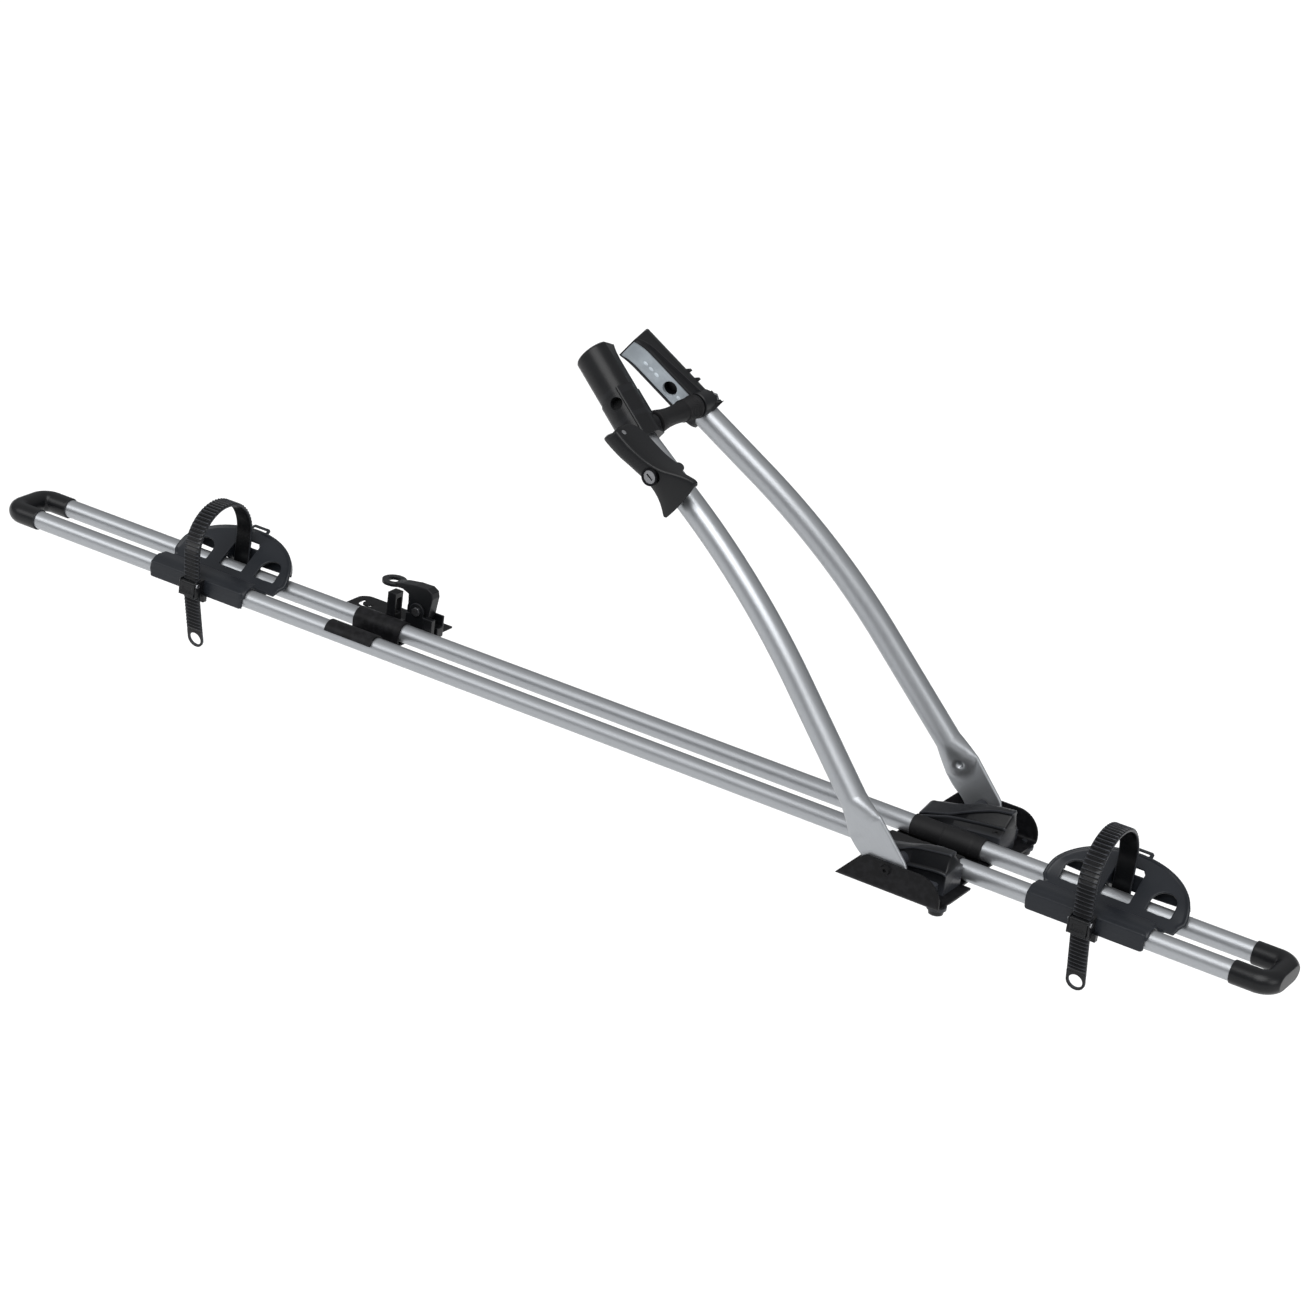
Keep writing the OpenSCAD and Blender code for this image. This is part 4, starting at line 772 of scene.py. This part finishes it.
def arm_mesh(side):
    """Bent tube pressed to a flat foot, its inner face dished where the two meet."""
    columns, dish_s, dish_r, pit_r = 57, 1.0, 7.5, 3.0
    length = ARM_RUN["low"] + ARM_RUN["top"] + ARM_RUN["bend_r"] * math.radians(
        ARM_RUN["low_rise"] - ARM_RUN["top_rise"])
    stations = [-FOOT["length"] - FOOT["half"] * math.cos(math.pi / 2 * k / 14) for k in range(14)]
    stations += [-FOOT["length"] + 20 * k / 8 for k in range(8)]
    stations += [-23.8 + 0.7 * k for k in range(80)]
    stations += [32.2 + (length - 32.2) * k / 130 for k in range(131)]
    mirror = 1 if side == "left" else -1
    rings = []
    for s in stations:
        centre, along, out = arm_station(s)
        up = along.cross(out).normalized()
        outer, inner = [], []
        for z, thick in arm_section(s, columns):
            away = math.hypot(z, s - dish_s)
            dish = 1.3 * (1 - blend_step(away / dish_r))
            dish += 3.0 * (1 - blend_step((away - pit_r * 0.6) / (pit_r * 0.8)))
            outer.append(centre + up * z + out * thick)
            room = 2 * thick - 1.2 if thick > 0.8 else 0.0
            inner.append(centre + up * z - out * (thick - min(dish, room)))
        ring = outer + inner[-2:0:-1]
        rings.append([Vector((point.x, mirror * point.y, point.z)) for point in ring])
    return mesh_from("arm_" + side, rings)


class CARRIER_OT_arms(bpy.types.Operator):
    """Bend the arm tubes and press their feet"""

    bl_idname = "carrier.arms"
    bl_label = "Arms"

    def execute(self, context):
        for side in ("right", "left"):
            add_piece("arm_tube_" + side, arm_mesh(side), "arm_" + side)
        return {"FINISHED"}


def lever_matrix():
    """Frame of the clamp lever on its pin, in millimetres."""
    return Matrix.Translation(LEVER_PIN) @ Matrix.Rotation(math.radians(ARM_RISE), 4, "Y")


def lever_mesh():
    """Cam lever: flat top, crowned back and a flared tail, open on the inside."""
    top = curve_through([(-7, 6.4), (-5, 7.2), (8, 7.2), (25, 7.6), (39, 9.0), (51, 12.2), (61, 17.4),
                         (71, 22.4), (77, 24.6), (80, 24.9), (82, 23.6)])
    foot = curve_through([(-7, 8.6), (-4, 10.6), (10, 10.4), (25, 9.2), (41, 8.9), (54, 10.8), (65, 15.2),
                          (74, 20.8), (79, 24.4), (82, 24.6)])
    back = curve_through([(-7, -4.0), (-5.5, -8.2), (-2, -9.9), (12, -10.0), (30, -7.8), (48, -3.6),
                          (58, -0.4), (66, 2.0), (74, 3.6), (82, 4.6)])
    deep_top = curve_through([(-7, 14), (-4, 19), (0, 23.5), (8, 26.6), (14, 27.4), (56, 27.4), (60, 19),
                              (64, 14.0), (70, 12.6), (82, 12.4)])
    deep_foot = curve_through([(-7, 13), (-3, 18), (4, 19.3), (54, 19.3), (59, 15), (64, 11.4), (70, 9.4),
                               (82, 8.6)])
    crown = curve_through([(-7, 3.0), (12, 3.4), (48, 3.6), (66, 3.0), (82, 2.2)])
    rim = curve_through([(60, 0.0), (82, -2.0)])
    place = lever_matrix()
    wall, head_end, steps = 2.4, 8.0, 28
    across = [math.cos(math.pi * k / steps) for k in range(steps + 1)]
    stations = [-7 + 0.6 * k for k in range(12)] + [0.4 + 1.2 * k for k in range(68)] + [81.4, 82.0]
    rings = []
    for x in stations:
        zt, zb, yb, lift = top(x), -foot(x), back(x), crown(x)
        middle, half = (zt + zb) / 2, (zt - zb) / 2
        thick = wall
        if x <= head_end:
            thick += (min(zt, -zb) - wall - 0.2) * (1 - blend_step((x - 5) / 3))
        end_round = 0.7 * blend_step((x - 80.6) / 1.4)
        ring = [(deep_top(x), zt - end_round),
                (max(yb + lift + 3.0, 0.5 * (deep_top(x) + yb)), zt - end_round)]
        for v in across:
            fall = 0.55 * abs(v) ** 2.2 + 0.45 * abs(v) ** 14 if v > 0 else abs(v) ** 2.4
            ring.append((yb + lift * fall + end_round, middle + half * v - end_round * v))
        ring += [(max(yb + lift + 3.0, 0.5 * (deep_foot(x) + yb)), zb + end_round),
                 (deep_foot(x), zb + end_round), (deep_foot(x), zb + thick)]
        for v in reversed(across):
            ring.append((min(yb + lift * abs(v) ** 3.0 + wall, deep_foot(x) - 0.3),
                         middle + (half - thick) * v))
        ring += [(deep_top(x), zt - thick)]
        bulge = rim(x) * blend_step((x - 70) / 12)
        lean = 4.0 * (1 - blend_step((x + 7) / 24))
        reach = max(zt, -zb)
        rings.append([place @ Vector((x - bulge * (1 - min(1.0, abs(z) / reach) ** 2)
                                      - lean * max(0.0, -z / 10.5), y, z)) for y, z in ring])
    return mesh_from("clamp_lever_shell", rings)


class CARRIER_OT_lever(bpy.types.Operator):
    """Loft the clamp lever, with a slot that clears the draw rod and a thumb tab"""

    bl_idname = "carrier.lever"
    bl_label = "Clamp lever"

    def execute(self, context):
        place = lever_matrix()
        half, rear, front, low, high = 4.6, -16.0, 9.0, -4.8, 40.0
        slot = [(rear, low), (front, low), (front, high), (rear, high)]
        shell = cut_from(lever_mesh(), plate([place @ Vector((x, y, -half)) for x, y in slot],
                                             place.to_3x3() @ Vector((0, 0, 2 * half))))
        build = bmesh.new()
        build.from_mesh(shell)
        tab = bmesh.ops.create_uvsphere(build, u_segments=24, v_segments=16, radius=1.0)["verts"]
        for vertex in tab:
            x, y, z = vertex.co
            reach = 13.0 if y > 0 else 8.0
            spot = Vector((52.5 + 5.6 * x, 27.0 + reach * math.copysign(abs(y) ** 0.6, y), 6.4 + 2.8 * z))
            vertex.co = (place @ spot) * MM
        build.to_mesh(shell)
        build.free()
        add_piece("clamp_lever_shell", shell, "clamp_lever")
        shell.set_sharp_from_angle(angle=math.radians(50))
        return {"FINISHED"}


class CARRIER_OT_straps(bpy.types.Operator):
    """Make the ladder straps of both wheel trays"""

    bl_idname = "carrier.straps"
    bl_label = "Wheel straps"

    def execute(self, context):
        for which in TRAYS:
            add_piece("ladder_strap_" + which, strap_mesh(which), "wheel_strap_" + which)
        return {"FINISHED"}


def claw_matrix(side):
    """Frame of a claw, in millimetres: mouth towards -X, inside towards -Y before the mirror."""
    place = Matrix.Translation(HEAD) @ Matrix.Rotation(math.radians(CLAW_RISE), 4, "Y")
    place = place @ Matrix.Rotation(math.radians(CLAW_TOE), 4, "Z")
    return place if side == "left" else Matrix.Diagonal((1, -1, 1, 1)) @ place


def claw_edge(x):
    """Inner edge of a claw at x, hooked towards its tip."""
    hook_start, hook_r, side = -80.0, 32.07, 14.0
    past = max(0.0, hook_start - x)
    return math.sqrt(hook_r ** 2 - past ** 2) - hook_r - side


def claw_reach(x, side):
    """How far a claw is drawn out towards its tip at x, in millimetres."""
    return {"right": 5.0, "left": 2.8}[side] * blend_step((CLAW_HOUSING - x) / 43.0)


def claw_ring(x, side):
    """Closed section of a claw at x: round back, drawn-in sides and the pocket of the pad."""
    base, pad_half, pad_deep, nose, corner = -52.0, 11.0, 4.05, 0.7, 13.0
    r = {"right": 18.5, "left": 16.9}[side] + (1.0 if x > base and side == "right" else 0.0)
    edge = claw_edge(x)
    if side == "left":
        edge += corner - math.sqrt(corner ** 2 - min(max(0.0, x + 15.0), 12.6) ** 2)
    shrink = 0.9 * (1 - blend_step((x - CLAW_TIP) / 1.4))
    r -= shrink

    def half_width(y):
        return r - 7.0 * min(1.0, -y / 21.0) * (1.0 if side == "right" else 0.75)

    lower = [(edge + shrink, -half_width(edge) + nose), (edge + nose + shrink, -half_width(edge + nose))]
    lower += [(y, -half_width(y)) for y in (edge * 0.66, edge * 0.33, -0.4)]
    back = [(r * math.cos(a), r * math.sin(a)) for a in (math.radians(-90 + 5 * k) for k in range(37))]
    upper = [(y, half_width(y)) for y in (-0.4, edge * 0.33, edge * 0.66)]
    inner = [(edge + nose + shrink, half_width(edge + nose)), (edge + shrink, half_width(edge) - nose)]
    if side == "left":
        crease = edge + 2.0 + 9.0 * (x - CLAW_TIP) / 98.0
        upper = [(crease + 3.5, half_width(crease + 3.5) + 0.5), (crease + 0.7, half_width(crease) + 1.8),
                 (crease, half_width(crease) + 2.1), (crease - 0.5, half_width(crease) + 1.3),
                 (crease - 1.2, half_width(crease - 1.2) + 0.2)]
    elif x > CLAW_HOUSING:
        facet = [(15.4, 13.2), (15.9, 14.4), (15.2, 15.4)]
        run = len([1 for y, z in back if math.atan2(z, y) > math.radians(40)])
        flat = [Vector(facet[2]).lerp(Vector((2.0, 20.4)), k / (run - 3)) for k in range(run - 2)]
        back = back[:-run] + facet[:2] + [tuple(point) for point in flat]
        upper = [(-1.0, 20.0), (edge * 0.33, half_width(edge * 0.33) + 0.6), upper[2]]
    deep = pad_deep if PAD_TIP < x < PAD_FOOT else 0.2
    pocket = [(edge + shrink, pad_half), (edge + deep, pad_half), (edge + deep, -pad_half),
              (edge + shrink, -pad_half)]
    lean = 0.012 if side == "right" else 0.0
    return [Vector((x - claw_reach(x, side) * (1 + lean * (z - y)), y, z))
            for y, z in lower + back + upper + inner + pocket]


def tooth(x, length, high):
    """Saw tooth on the back of the left claw at x, in the claw's frame."""
    turn = Matrix.Rotation(math.radians(-34), 3, "X")
    foot, half = 16.6, 3.0
    outline = [(0, -2), (length, -2), (length, high), (length - 2.4, high)]
    return mesh_from("tooth", [[turn @ Vector((px, across, foot + pz)) + Vector((x, 0, 0))
                                for px, pz in outline] for across in (-half, half)])


def claw_mesh(side):
    """Hooked claw with its pad pocket, saw teeth and the boss of the draw rod."""
    stations = [-100.0, -99.6, -99.2, -98.72, -98.68] + [-97.0 + 1.5 * k for k in range(27)]
    stations += [-57.02, -56.98, -55.0, -52.02, -51.98] + [-50.0 + 1.5 * k for k in range(16)]
    stations += [-26.02, -25.98] + [-24.0 + 2.0 * k for k in range(11)] + [-2.6, -2.0]
    build = bmesh.new()
    build.from_mesh(mesh_from("claw", [claw_ring(x, side) for x in stations]))
    if side == "left":
        for x, length, high in ((-51.0, 7.0, 3.6), (-39.3, 7.0, 3.6), (-20.0, 5.2, 3.8), (-14.2, 5.2, 3.8),
                                (-8.4, 5.2, 3.8)):
            build.from_mesh(tooth(x, length, high))
    build.transform(Matrix.Scale(MM, 4) @ claw_matrix("left") @ Matrix.Scale(1 / MM, 4))
    collar = {"right": 9.5, "left": 12.6}[side]
    rings = [[Vector((ROD.x + r * math.cos(a), y, ROD.z + r * math.sin(a))) for a in around(40)]
             for r, y in ((collar - 0.7, 37.95), (collar, 38.6), (collar, 56.0), (7.2, 56.1), (7.2, 65.8),
                          (6.6, 66.4))]
    build.from_mesh(mesh_from("boss", rings))
    mesh = bpy.data.meshes.new("claw_" + side)
    if side == "right":
        build.transform(Matrix.Diagonal((1, -1, 1, 1)))
        bmesh.ops.reverse_faces(build, faces=build.faces)
    build.to_mesh(mesh)
    build.free()
    return mesh


class CARRIER_OT_claws(bpy.types.Operator):
    """Loft the hooked claws"""

    bl_idname = "carrier.claws"
    bl_label = "Claws"

    def execute(self, context):
        turn, outer_x, outer_deep = math.radians(20), -43.4, 10.5
        away = Vector((0, math.cos(turn), math.sin(turn)))
        for side in ("right", "left"):
            place = claw_matrix(side)
            spin = place.to_3x3()
            shell = drilled(claw_mesh(side), place @ (Vector((outer_x, 0, 0)) + outer_deep * away),
                            (spin @ away).normalized(), 6.2, 14.0)
            shell = drilled(shell, place @ PAD_HOLE, (spin @ Vector((0, 1, 0))).normalized(), 7.0, 16.0)
            add_piece("claw_shell_" + side, shell, "claw_" + side)
            shell.set_sharp_from_angle(angle=math.radians(32))
        return {"FINISHED"}


def pad_mesh(side):
    """Rubber pad that follows the hook of a claw, crowned across, with its screw hole."""
    place = claw_matrix(side)
    half, deep, sunk, crown = 10.8, 4.0, 0.4, 0.8
    rings = []
    for x in [-98.6, -98.3, -97.6] + [-97 + 1.42 * k for k in range(50)] + [-26.9, -26.3]:
        end = 0.6 * (1 - blend_step(min(x + 98.6, -26.3 - x) / 1.0))
        edge = claw_edge(x)
        face = [-half + 2 * half * k / 16 for k in range(17)]
        ring = [(edge + sunk + end + 0.5 * (abs(z) / half) ** 12 - crown * (1 - (z / half) ** 2), z)
                for z in face]
        ring += [(edge + deep, half), (edge + deep, -half)]
        rings.append([place @ Vector((x - claw_reach(x, side), y, z)) for y, z in ring])
    axis = (place.to_3x3() @ Vector((0, 1, 0))).normalized()
    return drilled(mesh_from("pad", rings), place @ PAD_HOLE, axis, 7.6, 12.0)


class CARRIER_OT_pads(bpy.types.Operator):
    """Make the crowned grey pads inside the claws, with pale raised ovals painted lighter as highlights"""

    bl_idname = "carrier.pads"
    bl_label = "Claw pads"

    def execute(self, context):
        for side in ("right", "left"):
            place = claw_matrix(side)
            mesh = pad_mesh(side)
            pad = add_piece("claw_pad_" + side + "_soft", mesh, "claw_pad_" + side)
            mesh.set_sharp_from_angle(angle=math.radians(40))
            build = bmesh.new()
            # pale raised ovals on each pad: painted highlights, in a lighter copy of the pad rubber
            for x in (-79.0, -71.6, -64.2, -33.6):
                rib = bmesh.ops.create_uvsphere(build, u_segments=20, v_segments=12, radius=1.0)["verts"]
                for vertex in rib:
                    along, out, across = vertex.co
                    spot = Vector((x + 2.7 * along, claw_edge(x) - 0.3 + 0.7 * out, 1.7 * across))
                    vertex.co = (place @ spot) * MM
            ribs = bpy.data.meshes.new("claw_pad_" + side + "_ribs")
            build.to_mesh(ribs)
            build.free()
            piece = add_piece("claw_pad_" + side + "_ribs", ribs, "claw_pad_" + side, False)
            ribs.materials[0] = finishes()["pad_highlight"]
        return {"FINISHED"}


class CARRIER_OT_rod_sleeve(bpy.types.Operator):
    """Turn the ribbed rubber sleeve of the draw rod"""

    bl_idname = "carrier.rod_sleeve"
    bl_label = "Rod sleeve"

    def execute(self, context):
        length = 2 * SLEEVE_HALF
        line = [(3.7, 0.0), (11.0, 0.0), (11.6, 0.4), (11.8, 1.2), (11.5, 5.0), (10.9, 9.0), (10.1, 14.0),
                (9.5, 20.0), (9.15, 26.0), (9.1, 31.0), (9.3, 37.0), (9.8, 44.0), (10.0, length - 22.6)]
        ribs, pitch = 6, 17.0 / 6
        for i in range(ribs):
            at = length - 22 + i * pitch
            line += [(10.0, at - 0.15), (10.8, at), (11.0, at + 0.3), (11.0, at + 1.2), (10.8, at + 1.5),
                     (10.0, at + 1.65)]
        line += [(10.0, length - 4.3), (11.5, length - 4.0), (11.8, length - 3.6), (11.8, length - 0.5),
                 (11.4, length), (3.7, length)]
        rings = [[Vector((ROD.x + r * math.cos(a), y - SLEEVE_HALF, ROD.z + r * math.sin(a)))
                  for r, y in line] for a in around(72) + [2 * math.pi]]
        turned = mesh_from("rod_sleeve_turned", rings, caps=False)
        mesh = joined("rod_sleeve_turned", [turned], weld=1e-6, outward=True)
        sleeve = add_piece("rod_sleeve_turned", mesh, "rod_sleeve")
        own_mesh(sleeve)
        return {"FINISHED"}


def add_lamp(name, place, target, size, power):
    """Round soft lamp that looks at a target."""
    data = bpy.data.lights.new(name, "AREA")
    data.shape = "DISK"
    data.size = size
    data.energy = power
    lamp = linked(name, data)
    lamp.location = place
    lamp.rotation_euler = (Vector(target) - Vector(place)).to_track_quat("-Z", "Y").to_euler()


class CARRIER_OT_stage(bpy.types.Operator):
    """Set the floor, the soft studio light and the camera"""

    bl_idname = "carrier.stage"
    bl_label = "Stage"

    def execute(self, context):
        scene = context.scene
        stage = scene.carrier_stage
        scene.view_settings.view_transform = "Standard"
        bpy.ops.mesh.primitive_grid_add(x_subdivisions=4, y_subdivisions=4, size=60,
                                        location=(0, 8, stage.floor_z))
        floor = context.object
        floor.name = "floor"
        f = Finish("pale floor")
        speck = f.noise(f.place(), 3.0, 2.0)
        f.surface(f.mix(speck, stage.floor, shade(stage.floor, 0.99)), 0.9, f.bump(speck, 0.02, 0.001),
                  Specular_IOR_Level=0.1)
        floor.data.materials.append(f.material)
        room = Finish("studio", "worlds")
        at = room.node("ShaderNodeTexCoord", output="Generated")
        height = room.node("ShaderNodeSeparateXYZ", None, {"Vector": at}, output="Z")
        rise = room.ramp(height, (0.05, (0.42, 0.44, 0.47)), (0.85, 1.5))
        light = room.node("ShaderNodeBackground", None, {"Color": rise, "Strength": stage.world})
        room.node("ShaderNodeOutputWorld", None, {"Surface": light})
        scene.world = room.material
        key = bpy.data.lights.new("overhead", "SUN")
        key.energy = stage.key
        key.angle = math.radians(46)
        overhead = linked("overhead", key)
        overhead.rotation_euler = Vector((-0.12, 0.66, -0.92)).to_track_quat("-Z", "Y").to_euler()
        middle = (-0.35, 0.0, 0.12)
        add_lamp("left", (-2.4, -1.6, 1.3), middle, 1.2, stage.fill)
        add_lamp("right", (2.2, -0.6, 0.9), middle, 1.2, stage.fill)
        data = bpy.data.cameras.new("camera")
        data.sensor_width = 36.0
        data.sensor_fit = "HORIZONTAL"
        data.lens = stage.lens
        data.clip_end = 100.0
        camera = linked("camera", data)
        right, up = (0.83746, 0.53307, 0.12042), (-0.30478, 0.27267, 0.91256)
        back = (0.45363, -0.80093, 0.39081)
        turn = Matrix((right, up, back)).transposed().to_4x4()
        camera.matrix_world = Matrix.Translation((1.2595, -2.7955, 1.46115)) @ turn
        scene.camera = camera
        return {"FINISHED"}


class CARRIER_PT_panel(bpy.types.Panel):
    """The carrier's pieces"""

    bl_idname = "CARRIER_PT_panel"
    bl_label = "Bike carrier"
    bl_space_type = "VIEW_3D"
    bl_region_type = "UI"
    bl_category = "Carrier"

    def draw(self, context):
        for operator in OPERATORS:
            self.layout.operator(operator.bl_idname)


OPERATORS = (CARRIER_OT_finishes, CARRIER_OT_mouldings, CARRIER_OT_blocks, CARRIER_OT_arms,
             CARRIER_OT_lever, CARRIER_OT_straps, CARRIER_OT_claws, CARRIER_OT_pads,
             CARRIER_OT_rod_sleeve, CARRIER_OT_stage)
GROUPS = {"carrier_finishes": CarrierFinishes, "carrier_strap": CarrierStrap, "carrier_stage": CarrierStage}


def register():
    for group in (*GROUPS.values(), *OPERATORS, CARRIER_PT_panel):
        bpy.utils.register_class(group)
    for name, group in GROUPS.items():
        setattr(bpy.types.Scene, name, PointerProperty(type=group))


def unregister():
    for name in GROUPS:
        delattr(bpy.types.Scene, name)
    for group in (CARRIER_PT_panel, *reversed(OPERATORS), *reversed(tuple(GROUPS.values()))):
        bpy.utils.unregister_class(group)


def main():
    register()
    bpy.ops.carrier.finishes()
    bpy.ops.carrier.mouldings()
    bpy.ops.carrier.blocks()
    bpy.ops.carrier.arms()
    bpy.ops.carrier.lever()
    bpy.ops.carrier.straps()
    bpy.ops.carrier.claws()
    bpy.ops.carrier.pads()
    bpy.ops.carrier.rod_sleeve()
    bpy.ops.carrier.stage()


if __name__ == "__main__":
    main()
